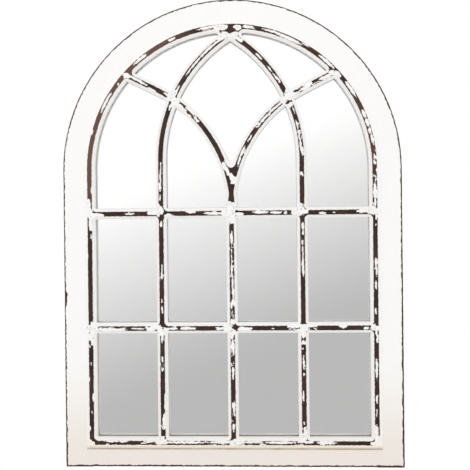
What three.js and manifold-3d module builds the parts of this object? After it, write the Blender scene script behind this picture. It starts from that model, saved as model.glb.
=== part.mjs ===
// Arched window mirror: one sheet of mirror glass in a painted board frame, behind a raised
// window grille of straight bars and intersecting arches, with its wall fittings on the back.
// Millimetres. The front faces -Y, the wall is the plane y = 0 and +Z is up. The origin is on
// the wall, midway between the two seats where the wall hooks hold the hanger rings.

import * as THREE from 'three';
import Module from 'manifold-3d';
import { mergeVertices } from 'three/addons/utils/BufferGeometryUtils.js';

const wasm = await Module();
wasm.setup();

// Outline of the frame, heights counted from its bottom edge
const frameWidth = 800;
const springHeight = 703;
const sideInset = 64.5; // outer edge to the middle of the moulding, at the sides and the arch
const bottomInset = 58.5; // the same on the bottom rail
const frameThickness = 18;
const arris = 2; // worn outer edge of the face

// Section of the moulding and of the grille bars
const reliefHeight = 9; // top of the moulding above the face of the frame
const ridgeWidth = 10;
const barWidth = 25;
const bevelDepth = 8;
const mouldingFoot = 13.5; // middle of the moulding to its outer foot
const mouldingLip = 1;

// Grille layout
const columnPitch = 166;
const rowPitch = 270.5;
const tallArchRise = 23; // spring line to where the tall arches start to bend
const tallArchRadius = 344;
const branchRise = 7; // upper bar to the centre height of the branch arches
const branchRadius = 319;
const branchOverlap = 2.5; // how far past the centre line a branch arch starts
const branchEndAngle = THREE.MathUtils.degToRad(26.5); // slope of a branch's straight end
const stemLength = 66; // upper bar to where the two branches stand apart
const mullionTuck = 5; // how far the centre mullion runs up behind the upper bar

// Mirror and back panel
const glassThickness = 4;
const panelThickness = 3;
const panelRecess = 0.3;
const edgeGap = 1.5; // round the sides and top of the glass

// Loose tenons in the frame joints
const tenonReach = 20; // into each of the two pieces
const tenonWidth = 30;
const tenonThickness = 5;

// Turn buttons and their screws
const buttonWidth = 12;
const buttonReach = 16; // between the centres of the two round ends
const buttonThickness = 1.2;
const buttonSetback = 9; // middle of the moulding to the screw, outwards
const lowButtonHeight = 190;
const highButtonHeight = 520;
const bottomButtonOffset = 190;
const archButtonAngle = THREE.MathUtils.degToRad(45);
const buttonScrewLength = 11;

// Ring hangers
const hangerInset = 39; // outer edge of a stile to the middle of its hanger
const hangerRise = 72; // spring line to the ring's pivot
const strapLength = 46;
const strapWidth = 12;
const strapThickness = 1.2;
const ringWire = 2.5;
const ringWidth = 22.5; // between the centres of the ring's two sides
const ringSide = 6; // straight stretch of the ring's sides
const ringCorner = 3;
const wallClearance = 0.5; // wall to the hanger's knuckle
const strapScrewFirst = 24; // pivot to the first screw
const strapScrewPitch = 15;
const strapScrewLength = 14;

// Shared screw size and the rubber bumpers
const screwShank = 3.5;
const screwHead = 7;
const screwHeadHeight = 1.8;
const screwHeadRim = 0.7; // height of the head's upright rim
const screwHeadFlat = 4.9; // width where the head's crown levels off
const screwTip = 1; // width of the blunt tip
const bumperWidth = 20;
const bumperEdge = 1.5;
const bumperInset = 30; // from the two outer edges of a corner

// Clearances
const gap = 0.3; // between pieces that fit together
const seam = 0.15; // each side of a mitred or scribed joint

// Facets
const archSteps = 28; // along a quarter of the frame's arch
const tallArchSteps = 24;
const branchSteps = 20;
const roundSteps = 12;
const cornerSteps = 3;
const wireSides = 8;

// Depths, from the wall to the front
const knuckleRadius = ringWire / 2 + gap + strapThickness;
const standOff = 2 * knuckleRadius + wallClearance; // wall to the back of the frame
const frameBack = -standOff;
const frameFace = frameBack - frameThickness;
const ridgeTop = frameFace - reliefHeight;
const bevelFoot = ridgeTop + bevelDepth;
const panelBack = frameBack - panelRecess;
const glassBack = panelBack - panelThickness - gap;
const glassFront = glassBack - glassThickness;
const grilleBack = glassFront - gap;
const lapPlane = (ridgeTop + grilleBack) / 2;
const beyond = 5; // how far a cutting tool runs past what it cuts

// Places worked out from the sizes above
const outerRadius = frameWidth / 2;
const ridgeRadius = outerRadius - sideInset;
const lowerBarHeight = bottomInset + rowPitch;
const upperBarHeight = bottomInset + 2 * rowPitch;
const hangerOffset = outerRadius - hangerInset;
const pivotHeight = springHeight + hangerRise;
const pivotDepth = frameBack + knuckleRadius;
const ringReach = ringSide + ringWidth / 2;
const hookHeight = pivotHeight + ringReach - ringWire / 2;

const paintWhite = '#efece6';
const barePine = '#c9a878';
const materials = {
  paint: new THREE.MeshStandardMaterial({ color: paintWhite, roughness: 0.5, metalness: 0 }),
  timber: new THREE.MeshStandardMaterial({ color: barePine, roughness: 0.8, metalness: 0 }),
  mirror: new THREE.MeshStandardMaterial({ color: '#dfe3e4', roughness: 0.03, metalness: 1 }),
  hardboard: new THREE.MeshStandardMaterial({ color: '#7a5a3c', roughness: 0.85, metalness: 0 }),
  steel: new THREE.MeshStandardMaterial({ color: '#b9bcbe', roughness: 0.35, metalness: 1 }),
  rubber: new THREE.MeshStandardMaterial({ color: '#2b2b2c', roughness: 0.9, metalness: 0 }),
};

// ---- Solids ----

function solidOf(geometry) {
  const bare = geometry.clone();
  bare.deleteAttribute('normal');
  bare.deleteAttribute('uv');
  const merged = mergeVertices(bare, 1e-4);
  const vertProperties = Float32Array.from(merged.attributes.position.array);
  const triVerts = Uint32Array.from(merged.index.array);
  return new wasm.Manifold(new wasm.Mesh({ numProp: 3, vertProperties, triVerts }));
}

function geometryOf(solid) {
  const mesh = solid.getMesh();
  const geometry = new THREE.BufferGeometry();
  geometry.setAttribute('position', new THREE.BufferAttribute(mesh.vertProperties, 3));
  geometry.setIndex(new THREE.BufferAttribute(mesh.triVerts, 1));
  geometry.computeVertexNormals();
  return geometry;
}

function cutAway(solid, tools) {
  return tools.reduce((left, tool) => left.subtract(tool), solid);
}

function box(from, to) {
  const size = [0, 1, 2].map((k) => to[k] - from[k]);
  const middle = [0, 1, 2].map((k) => (to[k] + from[k]) / 2);
  return solidOf(new THREE.BoxGeometry(...size).translate(...middle));
}

// The left normal of each point of a path in the XZ plane, lengthened at its bends
// so that an offset of the path stays parallel to it.
function normalsAlong(points, closed) {
  const last = points.length - 1;
  return points.map((point, i) => {
    const before = closed ? points[(i + last) % (last + 1)] : points[Math.max(i - 1, 0)];
    const after = closed ? points[(i + 1) % (last + 1)] : points[Math.min(i + 1, last)];
    const into = i > 0 || closed ? point.clone().sub(before).normalize() : null;
    const out = i < last || closed ? after.clone().sub(point).normalize() : null;
    const first = into ?? out;
    const second = out ?? into;
    const sum = first.clone().add(second);
    const normal = new THREE.Vector2(-sum.y, sum.x);
    return normal.divideScalar(1 + first.dot(second));
  });
}

// A section carried along a path in the XZ plane. Each point of the section is an offset
// to the left of the path and a depth y. The skews slant the two ends for a mitre.
function sweep(points, section, { closed = false, startSkew = 0, endSkew = 0 } = {}) {
  const contour = section.map(([offset, depth]) => new THREE.Vector2(offset, depth));
  if (THREE.ShapeUtils.area(contour) < 0) contour.reverse();
  const count = contour.length;
  const normals = normalsAlong(points, closed);
  const positions = [];
  points.forEach((point, i) => {
    const skew = i === 0 ? -startSkew : i === points.length - 1 ? endSkew : 0;
    const along = new THREE.Vector2(normals[i].y, -normals[i].x);
    for (const { x: offset, y: depth } of contour) {
      const at = point.clone().addScaledVector(normals[i], offset);
      at.addScaledVector(along, skew * offset);
      positions.push(at.x, depth, at.y);
    }
  });
  const index = [];
  const rings = closed ? points.length : points.length - 1;
  for (let i = 0; i < rings; i += 1) {
    const here = i * count;
    const next = ((i + 1) % points.length) * count;
    for (let j = 0; j < count; j += 1) {
      const k = (j + 1) % count;
      index.push(here + k, here + j, next + j, here + k, next + j, next + k);
    }
  }
  if (!closed) {
    const end = (points.length - 1) * count;
    for (const [a, b, c] of THREE.ShapeUtils.triangulateShape(contour, [])) {
      index.push(a, b, c, end + c, end + b, end + a);
    }
  }
  const geometry = new THREE.BufferGeometry();
  geometry.setAttribute('position', new THREE.Float32BufferAttribute(positions, 3));
  geometry.setIndex(index);
  return solidOf(geometry);
}

// A flat plate: an outline in the XZ plane between two depths
function plate(shape, back, front, curveSegments = archSteps) {
  const settings = { depth: back - front, bevelEnabled: false, curveSegments };
  const geometry = new THREE.ExtrudeGeometry(shape, settings);
  return solidOf(geometry.rotateX(Math.PI / 2).translate(0, back, 0));
}

function roundBar(radius, back, front, x, z) {
  const length = back - front;
  const geometry = new THREE.CylinderGeometry(radius, radius, length, roundSteps);
  return solidOf(geometry.translate(x, (back + front) / 2, z));
}

// ---- Paths in the XZ plane ----

const at = (x, z) => new THREE.Vector2(x, z);

function arc(centreX, centreZ, radius, from, to, steps) {
  return Array.from({ length: steps + 1 }, (_, i) => {
    const angle = from + ((to - from) * i) / steps;
    return at(centreX + radius * Math.cos(angle), centreZ + radius * Math.sin(angle));
  });
}

const mirrored = (points) => points.map((point) => at(-point.x, point.y));

// A quarter of the arch, with one step more at each end, to be trimmed off square
function quarterArch(from, to) {
  const step = (to - from) / archSteps;
  return arc(0, springHeight, ridgeRadius, from - step, to + step, archSteps + 2);
}

// The middle of the moulding, clockwise, so that an offset to the left points outwards
const ringPaths = {
  left: [at(-ridgeRadius, bottomInset), at(-ridgeRadius, springHeight)],
  arch_left: quarterArch(Math.PI, Math.PI / 2),
  arch_right: quarterArch(Math.PI / 2, 0),
  right: [at(ridgeRadius, springHeight), at(ridgeRadius, bottomInset)],
  bottom: [at(ridgeRadius, bottomInset), at(-ridgeRadius, bottomInset)],
};

// A side mullion rises straight and then bends over into its tall arch
function tallArchPath() {
  const centreX = tallArchRadius - columnPitch;
  const start = springHeight + tallArchRise;
  const bend = arc(centreX, start, tallArchRadius, Math.PI, Math.PI / 2, tallArchSteps);
  return [at(-columnPitch, bottomInset), ...bend];
}

// A branch rises from the upper bar as an arch and runs straight into the moulding
function branchPath() {
  const centreX = branchRadius - branchOverlap;
  const centreZ = upperBarHeight + branchRise;
  const turn = Math.PI / 2 + branchEndAngle;
  const bend = arc(centreX, centreZ, branchRadius, Math.PI, turn, branchSteps);
  const leaves = bend[bend.length - 1];
  const ahead = at(Math.cos(branchEndAngle), Math.sin(branchEndAngle));
  const reach = outerRadius / 2;
  return [at(-branchOverlap, upperBarHeight), ...bend, leaves.clone().addScaledVector(ahead, reach)];
}

const paths = {
  mullion_left: tallArchPath(),
  mullion_right: mirrored(tallArchPath()),
  mullion_centre: [at(0, bottomInset), at(0, upperBarHeight + mullionTuck)],
  branch_right: branchPath(),
  branch_left: mirrored(branchPath()),
  bar_lower: [at(-ridgeRadius, lowerBarHeight), at(ridgeRadius, lowerBarHeight)],
  bar_upper: [at(-ridgeRadius, upperBarHeight), at(ridgeRadius, upperBarHeight)],
};

// ---- Sections ----

const barSection = [
  [-barWidth / 2, grilleBack],
  [barWidth / 2, grilleBack],
  [barWidth / 2, bevelFoot],
  [ridgeWidth / 2, ridgeTop],
  [-ridgeWidth / 2, ridgeTop],
  [-barWidth / 2, bevelFoot],
];

const mouldingSection = [
  [mouldingFoot, frameFace],
  [mouldingFoot, frameFace - mouldingLip],
  [ridgeWidth / 2, ridgeTop],
  [-ridgeWidth / 2, ridgeTop],
  [-barWidth / 2, bevelFoot],
  [-barWidth / 2, grilleBack],
  [-gap, grilleBack],
  [-gap, frameFace],
];

function frameSection(inset) {
  return [
    [0, frameBack],
    [inset, frameBack],
    [inset, frameFace + arris],
    [inset - arris, frameFace],
    [0, frameFace],
  ];
}

// What a piece in front takes out of the piece that passes behind it
function barCutter(back) {
  const half = barWidth / 2 + gap;
  const ridge = ridgeWidth / 2 + gap;
  const clear = ridgeTop - beyond;
  const right = [[half, back], [half, bevelFoot], [ridge, ridgeTop], [ridge, clear]];
  const left = right.map(([offset, depth]) => [-offset, depth]).reverse();
  return [...right, ...left];
}

const mouldingCutter = [
  [-barWidth / 2 - gap, lapPlane],
  [-barWidth / 2 - gap, bevelFoot],
  [-ridgeWidth / 2 - gap, ridgeTop],
  [-ridgeWidth / 2 - gap, ridgeTop - beyond],
  [mouldingFoot, ridgeTop - beyond],
  [mouldingFoot, lapPlane],
];

// What a piece behind takes out of the piece that passes in front of it
const lapCutter = [
  [-barWidth / 2 - gap, lapPlane],
  [barWidth / 2 + gap, lapPlane],
  [barWidth / 2 + gap, grilleBack + beyond],
  [-barWidth / 2 - gap, grilleBack + beyond],
];

// Everything outside the opening of the frame
const outsideCutter = [
  [-gap, ridgeTop - beyond],
  [outerRadius, ridgeTop - beyond],
  [outerRadius, grilleBack + beyond],
  [-gap, grilleBack + beyond],
];

// ---- Grille ----

const bands = Object.fromEntries(
  Object.entries(paths).map(([name, path]) => [name, sweep(path, barSection)]),
);
const laps = Object.fromEntries(
  Object.entries(paths).map(([name, path]) => [name, sweep(path, lapCutter)]),
);

// The part of a solid on one side of the centre line and above a given height
function onSide(solid, side, bottom = 0) {
  const near = side * seam;
  const far = side * frameWidth;
  const from = [Math.min(near, far), ridgeTop - beyond, bottom];
  const to = [Math.max(near, far), beyond, springHeight + frameWidth];
  return solid.intersect(box(from, to));
}

// What the moulding and the frame take out of the grille
function ringTools() {
  const along = Object.values(ringPaths);
  const fronts = along.map((path) => sweep(path, mouldingCutter, mitreOf(path)));
  const outside = along.map((path) => sweep(path, outsideCutter, mitreOf(path)));
  return [...fronts, ...outside];
}

// The moulding is mitred where the sides meet the bottom
function mitreOf(path) {
  const corner = (point) => (point.y === bottomInset ? 1 : 0);
  return { startSkew: corner(path[0]), endSkew: corner(path[path.length - 1]) };
}

// Every crossing is a half lap: the bars and the branches pass in front of the mullions
function buildGrille() {
  const ring = ringTools();
  const inFront = (names) => names.map((name) => sweep(paths[name], barCutter(lapPlane)));
  const barFronts = inFront(['bar_lower', 'bar_upper']);
  const branchFronts = inFront(['branch_left', 'branch_right']);
  const upperBarWhole = sweep(paths.bar_upper, barCutter(grilleBack + beyond));
  const tallArches = bands.mullion_left.add(bands.mullion_right);
  const stemPath = [at(0, upperBarHeight), at(0, upperBarHeight + stemLength)];
  const fork = bands.branch_left.add(bands.branch_right).add(sweep(stemPath, barSection));
  const sides = { left: -1, right: 1 };
  const grille = {};
  for (const [name, side] of Object.entries(sides)) {
    const mullion = onSide(tallArches, side);
    grille[`mullion_${name}`] = cutAway(mullion, [...ring, ...barFronts, ...branchFronts]);
    const branch = onSide(fork, side);
    const mullionLaps = [laps.mullion_left, laps.mullion_right];
    grille[`branch_${name}`] = cutAway(branch, [...ring, upperBarWhole, ...mullionLaps]);
  }
  grille.mullion_centre = cutAway(bands.mullion_centre, [...ring, ...barFronts]);
  const crossed = [laps.mullion_left, laps.mullion_centre, laps.mullion_right];
  grille.bar_lower = cutAway(bands.bar_lower, [...ring, ...crossed]);
  grille.bar_upper = cutAway(bands.bar_upper, [...ring, ...crossed]);
  return grille;
}

// ---- Frame, moulding and the loose tenons in their joints ----

function tenonPlaces() {
  const middle = outerRadius - sideInset / 2;
  const low = bottomInset / 2;
  return {
    tenon_crown: { x: 0, z: springHeight + middle, level: true },
    tenon_spring_left: { x: -middle, z: springHeight, level: false },
    tenon_spring_right: { x: middle, z: springHeight, level: false },
    tenon_corner_left: { x: -ridgeRadius, z: low, level: true },
    tenon_corner_right: { x: ridgeRadius, z: low, level: true },
  };
}

function tenon({ x, z, level }, grow) {
  const long = tenonReach + grow;
  const wide = tenonWidth / 2 + grow;
  const thick = tenonThickness / 2 + grow;
  const depth = (frameBack + frameFace) / 2;
  const [dx, dz] = level ? [long, wide] : [wide, long];
  return box([x - dx, depth - thick, z - dz], [x + dx, depth + thick, z + dz]);
}

function buildFrame(pilotHoles) {
  const pockets = Object.values(tenonPlaces()).map((place) => tenon(place, gap));
  const side = frameSection(sideInset);
  const stileTop = springHeight - seam;
  const members = {
    stile_left: sweep([at(-ridgeRadius, 0), at(-ridgeRadius, stileTop)], side),
    stile_right: sweep([at(ridgeRadius, stileTop), at(ridgeRadius, 0)], side),
    rail_bottom: sweep(shortened(ringPaths.bottom), frameSection(bottomInset)),
    arch_left: onSide(sweep(ringPaths.arch_left, side), -1, springHeight + seam),
    arch_right: onSide(sweep(ringPaths.arch_right, side), 1, springHeight + seam),
  };
  const cuts = [...pockets, ...pilotHoles];
  const cut = ([name, solid]) => [name, cutAway(solid, cuts)];
  return Object.fromEntries(Object.entries(members).map(cut));
}

// A path drawn in by a seam at each end
function shortened(path) {
  const points = path.map((point) => point.clone());
  const last = points.length - 1;
  const ends = [[0, 1], [last, last - 1]];
  for (const [end, inner] of ends) {
    const inwards = points[inner].clone().sub(points[end]).normalize();
    points[end].addScaledVector(inwards, seam);
  }
  return points;
}

function buildMoulding() {
  const notches = Object.values(laps);
  return Object.fromEntries(
    Object.entries(ringPaths).map(([name, path]) => {
      const length = sweep(shortened(path), mouldingSection, mitreOf(path));
      const side = Math.sign(path[path.length - 1].x + path[0].x);
      const curved = name.startsWith('arch');
      const solid = curved ? onSide(length, side, springHeight + seam) : length;
      return [`moulding_${name}`, cutAway(solid, notches)];
    }),
  );
}

// ---- Glass and back panel ----

function openingShape() {
  const radius = ridgeRadius - edgeGap;
  const shape = new THREE.Shape();
  shape.moveTo(-radius, bottomInset + gap);
  shape.lineTo(radius, bottomInset + gap);
  shape.lineTo(radius, springHeight);
  shape.absarc(0, springHeight, radius, 0, Math.PI, false);
  shape.closePath();
  return shape;
}

// ---- Fittings on the back ----

function buttonPlaces() {
  const out = ridgeRadius + buttonSetback;
  const low = bottomInset - buttonSetback;
  const archX = out * Math.cos(archButtonAngle);
  const archZ = springHeight + out * Math.sin(archButtonAngle);
  const places = [
    { x: -bottomButtonOffset, z: low, towards: Math.PI / 2 },
    { x: bottomButtonOffset, z: low, towards: Math.PI / 2 },
  ];
  for (const z of [lowButtonHeight, highButtonHeight]) {
    places.push({ x: -out, z, towards: 0 });
    places.push({ x: out, z, towards: Math.PI });
  }
  places.push({ x: -archX, z: archZ, towards: -archButtonAngle });
  places.push({ x: archX, z: archZ, towards: archButtonAngle + Math.PI });
  return places;
}

function buttonGeometry() {
  const radius = buttonWidth / 2;
  const quarter = Math.PI / 2;
  const shape = new THREE.Shape();
  shape.absarc(0, 0, radius, quarter, 3 * quarter, false);
  shape.absarc(buttonReach, 0, radius, -quarter, quarter, false);
  shape.closePath();
  const hole = new THREE.Path();
  hole.absarc(0, 0, screwShank / 2 + gap, 0, 2 * Math.PI, true);
  shape.holes.push(hole);
  return geometryOf(plate(shape, buttonThickness, 0, roundSteps));
}

// A round-headed screw along Y, its head's underside at y = 0 and its tip towards -Y
function screwGeometry(length) {
  const shank = screwShank / 2;
  const head = screwHead / 2;
  const profile = [
    at(0, -length),
    at(screwTip / 2, -length),
    at(shank, -length + screwShank),
    at(shank, 0),
    at(head, 0),
    at(head, screwHeadRim),
    at(screwHeadFlat / 2, screwHeadHeight),
    at(0, screwHeadHeight),
  ];
  return geometryOf(solidOf(new THREE.LatheGeometry(profile, roundSteps)));
}

function pilotHole(x, z, headSeat, length) {
  return roundBar(screwShank / 2 + gap, beyond, headSeat - length - gap, x, z);
}

// The strap is folded round the ring's straight side, so its side view is a long letter P
function strapGeometry() {
  const inner = frameBack + strapThickness;
  const meets = Math.acos((inner - pivotDepth) / knuckleRadius);
  const shape = new THREE.Shape();
  shape.moveTo(inner, -strapLength);
  shape.lineTo(frameBack, -strapLength);
  shape.absarc(pivotDepth, 0, knuckleRadius, Math.PI, -meets, true);
  shape.closePath();
  const bore = new THREE.Path();
  bore.absarc(pivotDepth, 0, ringWire / 2 + gap, 0, 2 * Math.PI, false);
  shape.holes.push(bore);
  const settings = { depth: strapWidth, bevelEnabled: false, curveSegments: roundSteps };
  const geometry = new THREE.ExtrudeGeometry(shape, settings);
  const axes = [new THREE.Vector3(0, 1, 0), new THREE.Vector3(0, 0, 1), new THREE.Vector3(1, 0, 0)];
  geometry.applyMatrix4(new THREE.Matrix4().makeBasis(...axes)).translate(-strapWidth / 2, 0, 0);
  const holes = strapScrewHeights().map((height) => {
    return roundBar(screwShank / 2 + gap, beyond, frameBack - beyond, 0, height);
  });
  return geometryOf(cutAway(solidOf(geometry), holes));
}

const strapScrewHeights = () => [-strapScrewFirst, -strapScrewFirst - strapScrewPitch];

// A D-shaped ring of round wire, hanging from its straight side at z = 0
function ringGeometry() {
  const half = ringWidth / 2;
  const quarter = Math.PI / 2;
  const cornerX = half - ringCorner;
  const path = [
    ...arc(cornerX, -ringCorner, ringCorner, quarter, 0, cornerSteps),
    ...arc(0, -ringSide, half, 0, -Math.PI, roundSteps),
    ...arc(-cornerX, -ringCorner, ringCorner, Math.PI, quarter, cornerSteps),
  ];
  const round = arc(0, 0, ringWire / 2, 0, 2 * Math.PI, wireSides).slice(1);
  const wire = round.map(({ x, y }) => [x, y]);
  return geometryOf(sweep(path, wire, { closed: true }));
}

function bumperGeometry() {
  const radius = bumperWidth / 2;
  const profile = [
    at(0, -standOff),
    at(radius, -standOff),
    at(radius, -bumperEdge),
    at(radius - bumperEdge, 0),
    at(0, 0),
  ];
  return geometryOf(solidOf(new THREE.LatheGeometry(profile, 2 * roundSteps)));
}

// ---- Assembly ----

const mirror = new THREE.Group();
const standing = new THREE.Group(); // heights inside it count from the frame's bottom edge
standing.position.z = -hookHeight;
mirror.add(standing);

function addPiece(name, geometry, material, place = [0, 0, 0], turn = 0) {
  const mesh = new THREE.Mesh(geometry, material);
  mesh.name = name;
  mesh.position.set(...place);
  mesh.rotation.y = turn;
  standing.add(mesh);
}

function addSolids(solids, material) {
  for (const [name, solid] of Object.entries(solids)) addPiece(name, geometryOf(solid), material);
}

const hangerSides = { left: -hangerOffset, right: hangerOffset };
const strapSeat = frameBack + strapThickness;
const buttonSeat = frameBack + gap + buttonThickness + gap;

const pilotHoles = [
  ...buttonPlaces().map(({ x, z }) => pilotHole(x, z, buttonSeat, buttonScrewLength)),
  ...Object.values(hangerSides).flatMap((x) => {
    return strapScrewHeights().map((dz) => pilotHole(x, pivotHeight + dz, strapSeat, strapScrewLength));
  }),
];

addSolids(buildFrame(pilotHoles), materials.paint);
addSolids(buildMoulding(), materials.paint);
addSolids(buildGrille(), materials.paint);
for (const [name, place] of Object.entries(tenonPlaces())) {
  addPiece(name, geometryOf(tenon(place, 0)), materials.timber);
}
addPiece('mirror_glass', geometryOf(plate(openingShape(), glassBack, glassFront)), materials.mirror);
const panel = plate(openingShape(), panelBack, panelBack - panelThickness);
addPiece('back_panel', geometryOf(panel), materials.hardboard);

buttonPlaces().forEach(({ x, z, towards }, i) => {
  const place = [x, frameBack + gap, z];
  addPiece(`turn_button_${i + 1}`, buttonGeometry(), materials.steel, place, -towards);
  const seat = [x, buttonSeat, z];
  addPiece(`turn_button_screw_${i + 1}`, screwGeometry(buttonScrewLength), materials.steel, seat);
});

for (const [side, x] of Object.entries(hangerSides)) {
  addPiece(`hanger_strap_${side}`, strapGeometry(), materials.steel, [x, 0, pivotHeight]);
  addPiece(`hanger_ring_${side}`, ringGeometry(), materials.steel, [x, pivotDepth, pivotHeight]);
  strapScrewHeights().forEach((dz, i) => {
    const seat = [x, strapSeat, pivotHeight + dz];
    addPiece(`hanger_screw_${side}_${i + 1}`, screwGeometry(strapScrewLength), materials.steel, seat);
  });
  const bumperX = Math.sign(x) * (outerRadius - bumperInset);
  addPiece(`bumper_${side}`, bumperGeometry(), materials.rubber, [bumperX, 0, bumperInset]);
}

export default mirror;
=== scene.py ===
# An arched window mirror: a rubbed white board frame and window bars over one sheet of mirror.
# Surfaces are worked out in millimetres, with heights counted from the frame's bottom edge.

import math

import bpy
import mathutils
import numpy as np
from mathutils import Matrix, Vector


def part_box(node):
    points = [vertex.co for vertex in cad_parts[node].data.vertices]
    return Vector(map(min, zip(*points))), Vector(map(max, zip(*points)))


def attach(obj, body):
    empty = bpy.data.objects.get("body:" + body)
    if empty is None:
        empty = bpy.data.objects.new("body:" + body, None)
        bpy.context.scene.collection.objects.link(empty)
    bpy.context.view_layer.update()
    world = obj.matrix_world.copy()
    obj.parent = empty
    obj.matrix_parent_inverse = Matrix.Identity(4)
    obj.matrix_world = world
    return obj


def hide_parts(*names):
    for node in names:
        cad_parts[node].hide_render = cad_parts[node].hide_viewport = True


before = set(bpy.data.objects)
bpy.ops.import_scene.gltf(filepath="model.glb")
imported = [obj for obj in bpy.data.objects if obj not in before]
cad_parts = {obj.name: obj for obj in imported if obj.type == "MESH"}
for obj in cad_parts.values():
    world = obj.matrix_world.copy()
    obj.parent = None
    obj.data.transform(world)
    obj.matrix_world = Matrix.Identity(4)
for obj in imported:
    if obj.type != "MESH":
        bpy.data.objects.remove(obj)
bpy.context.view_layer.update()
print("frame loaded:", len(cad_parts), "nodes")


# sizes, taken from the frame where it has them

def nodeBox(node):
    low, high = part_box(node)
    return np.array(low) * 1000, np.array(high) * 1000


stileLow, stileHigh = nodeBox("stile_left")
railHigh = nodeBox("rail_bottom")[1]
glassLow, glassHigh = nodeBox("mirror_glass")
bottomEdge = stileLow[2]

size = {
    "halfWidth": -stileLow[0],
    "ridgeRadius": -stileHigh[0],       # middle of the moulding at the sides and in the arch
    "springHeight": round(stileHigh[2] - bottomEdge),
    "bottomInset": railHigh[2] - bottomEdge,
    "boardFace": stileLow[1],
    "boardBack": stileHigh[1],
    "ridgeTop": nodeBox("moulding_left")[0][1],
    "barBack": nodeBox("mullion_centre")[1][1],
    "barHalf": 12.5,
    "bevelFoot": -25.0,
    "bevelRun": 7.5,                    # sight edge to the edge of the ridge
    "mouldingFoot": 13.5,
    "sightRound": 3.5,                  # radius at the corners of the panes
    "rise": 7.55,                       # bevel foot to the bare top of the ridge
    "outerRun": 8.5,                    # edge of the ridge to the moulding's foot
    "crease": 0.9,                      # rounding where two slopes meet
    "film": 0.12,                       # thickness of the paint
    "lapPlay": 0.3,
    "backEase": 2.5,                    # how far the back corners of a bar are planed off
    "lineStep": 1.7,                    # spacing of the stations along a bar
}
size["column"] = -nodeBox("mullion_left")[0][0] - size["barHalf"]
size["lowerBar"] = sum(corner[2] for corner in nodeBox("bar_lower")) / 2 - bottomEdge
size["upperBar"] = sum(corner[2] for corner in nodeBox("bar_upper")) / 2 - bottomEdge
size["lapPlane"] = (size["ridgeTop"] + size["barBack"]) / 2
wear = {"bare": 3.0, "painted": -1.6, "edge": 1.2}      # values of the rubbed attribute

arches = {
    "tallRadius": 344.0,
    "tallRise": 23.0,                   # spring line to where the tall arches start to bend
    "branchRadius": 319.0,
    "branchRise": 7.0,                  # upper bar to the centre height of the branches
    "branchOverlap": 2.5,               # how far past the middle a branch starts
    "branchEnd": math.radians(26.5),    # slope of a branch's straight end
    "stemLength": 66.0,
    "mullionTuck": 5.0,
}


# paths in the plane of the front: straight pieces and bends, measured by the distance u along them

def straight(x0, z0, x1, z1):
    run = math.hypot(x1 - x0, z1 - z0)
    return {"run": run, "x": x0, "z": z0, "dx": (x1 - x0) / run, "dz": (z1 - z0) / run}


def bend(x, z, radius, start, stop):
    way = math.copysign(1, stop - start)
    return {"run": radius * abs(stop - start), "x": x, "z": z, "radius": radius,
            "start": start, "way": way}


def alongPiece(piece, s):
    # place and left normal at the distance s along one piece
    if "radius" not in piece:
        x = piece["x"] + s * piece["dx"]
        z = piece["z"] + s * piece["dz"]
        return x, z, -piece["dz"] + 0 * s, piece["dx"] + 0 * s
    angle = piece["start"] + piece["way"] * s / piece["radius"]
    cosine, sine = np.cos(angle), np.sin(angle)
    x = piece["x"] + piece["radius"] * cosine
    z = piece["z"] + piece["radius"] * sine
    return x, z, -piece["way"] * cosine, -piece["way"] * sine


def runOf(path):
    return sum(piece["run"] for piece in path)


def alongPath(path, u):
    # place and left normal at the distance u; the end pieces run on past the ends
    u = np.asarray(u, float)
    found = None
    start = 0.0
    for piece in path:
        here = np.array(alongPiece(piece, u - start))
        found = here if found is None else np.where(u >= start, here, found)
        start += piece["run"]
    return found


def pathCoords(path, x, z):
    # distance to the path, u of its nearest point, and the offset to the left of it
    found = None
    start = 0.0
    for piece in path:
        if "radius" in piece:
            half = piece["run"] / piece["radius"] / 2
            angle = piece["way"] * (np.arctan2(z - piece["z"], x - piece["x"]) - piece["start"])
            turn = (angle - half + math.pi) % (2 * math.pi) - math.pi + half
            s = np.clip(turn, 0, 2 * half) * piece["radius"]
        else:
            s = np.clip((x - piece["x"]) * piece["dx"] + (z - piece["z"]) * piece["dz"], 0, piece["run"])
        px, pz, nx, nz = alongPiece(piece, s)
        here = np.array([np.hypot(x - px, z - pz), start + s, (x - px) * nx + (z - pz) * nz])
        found = here if found is None else np.where(here[0] < found[0], here, found)
        start += piece["run"]
    return found


def mirrored(path):
    turned = []
    for piece in path:
        copy = dict(piece, x=-piece["x"])
        if "radius" in piece:
            copy.update(start=math.pi - piece["start"], way=-piece["way"])
        else:
            copy.update(dx=-piece["dx"])
        turned.append(copy)
    return turned


radius = size["ridgeRadius"]
spring = size["springHeight"]
foot = size["bottomInset"]
half = size["barHalf"]
quarter = math.pi / 2

ringPieces = {
    "left": straight(-radius, foot, -radius, spring),
    "arch_left": bend(0, spring, radius, math.pi, quarter),
    "arch_right": bend(0, spring, radius, quarter, 0),
    "right": straight(radius, spring, radius, foot),
    "bottom": straight(radius, foot, -radius, foot),
}


def tallArchPath(stop):
    centre = arches["tallRadius"] - size["column"]
    base = spring + arches["tallRise"]
    return [straight(-size["column"], foot, -size["column"], base),
            bend(centre, base, arches["tallRadius"], math.pi, stop)]


def branchPath():
    centreX = arches["branchRadius"] - arches["branchOverlap"]
    centreZ = size["upperBar"] + arches["branchRise"]
    turn = quarter + arches["branchEnd"]
    curve = bend(centreX, centreZ, arches["branchRadius"], math.pi, turn)
    x, z = alongPiece(curve, curve["run"])[:2]
    reach = radius / 2
    endX, endZ = x + reach * math.cos(arches["branchEnd"]), z + reach * math.sin(arches["branchEnd"])
    return [straight(-arches["branchOverlap"], size["upperBar"], -arches["branchOverlap"], centreZ),
            curve, straight(x, z, endX, endZ)]


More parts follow.
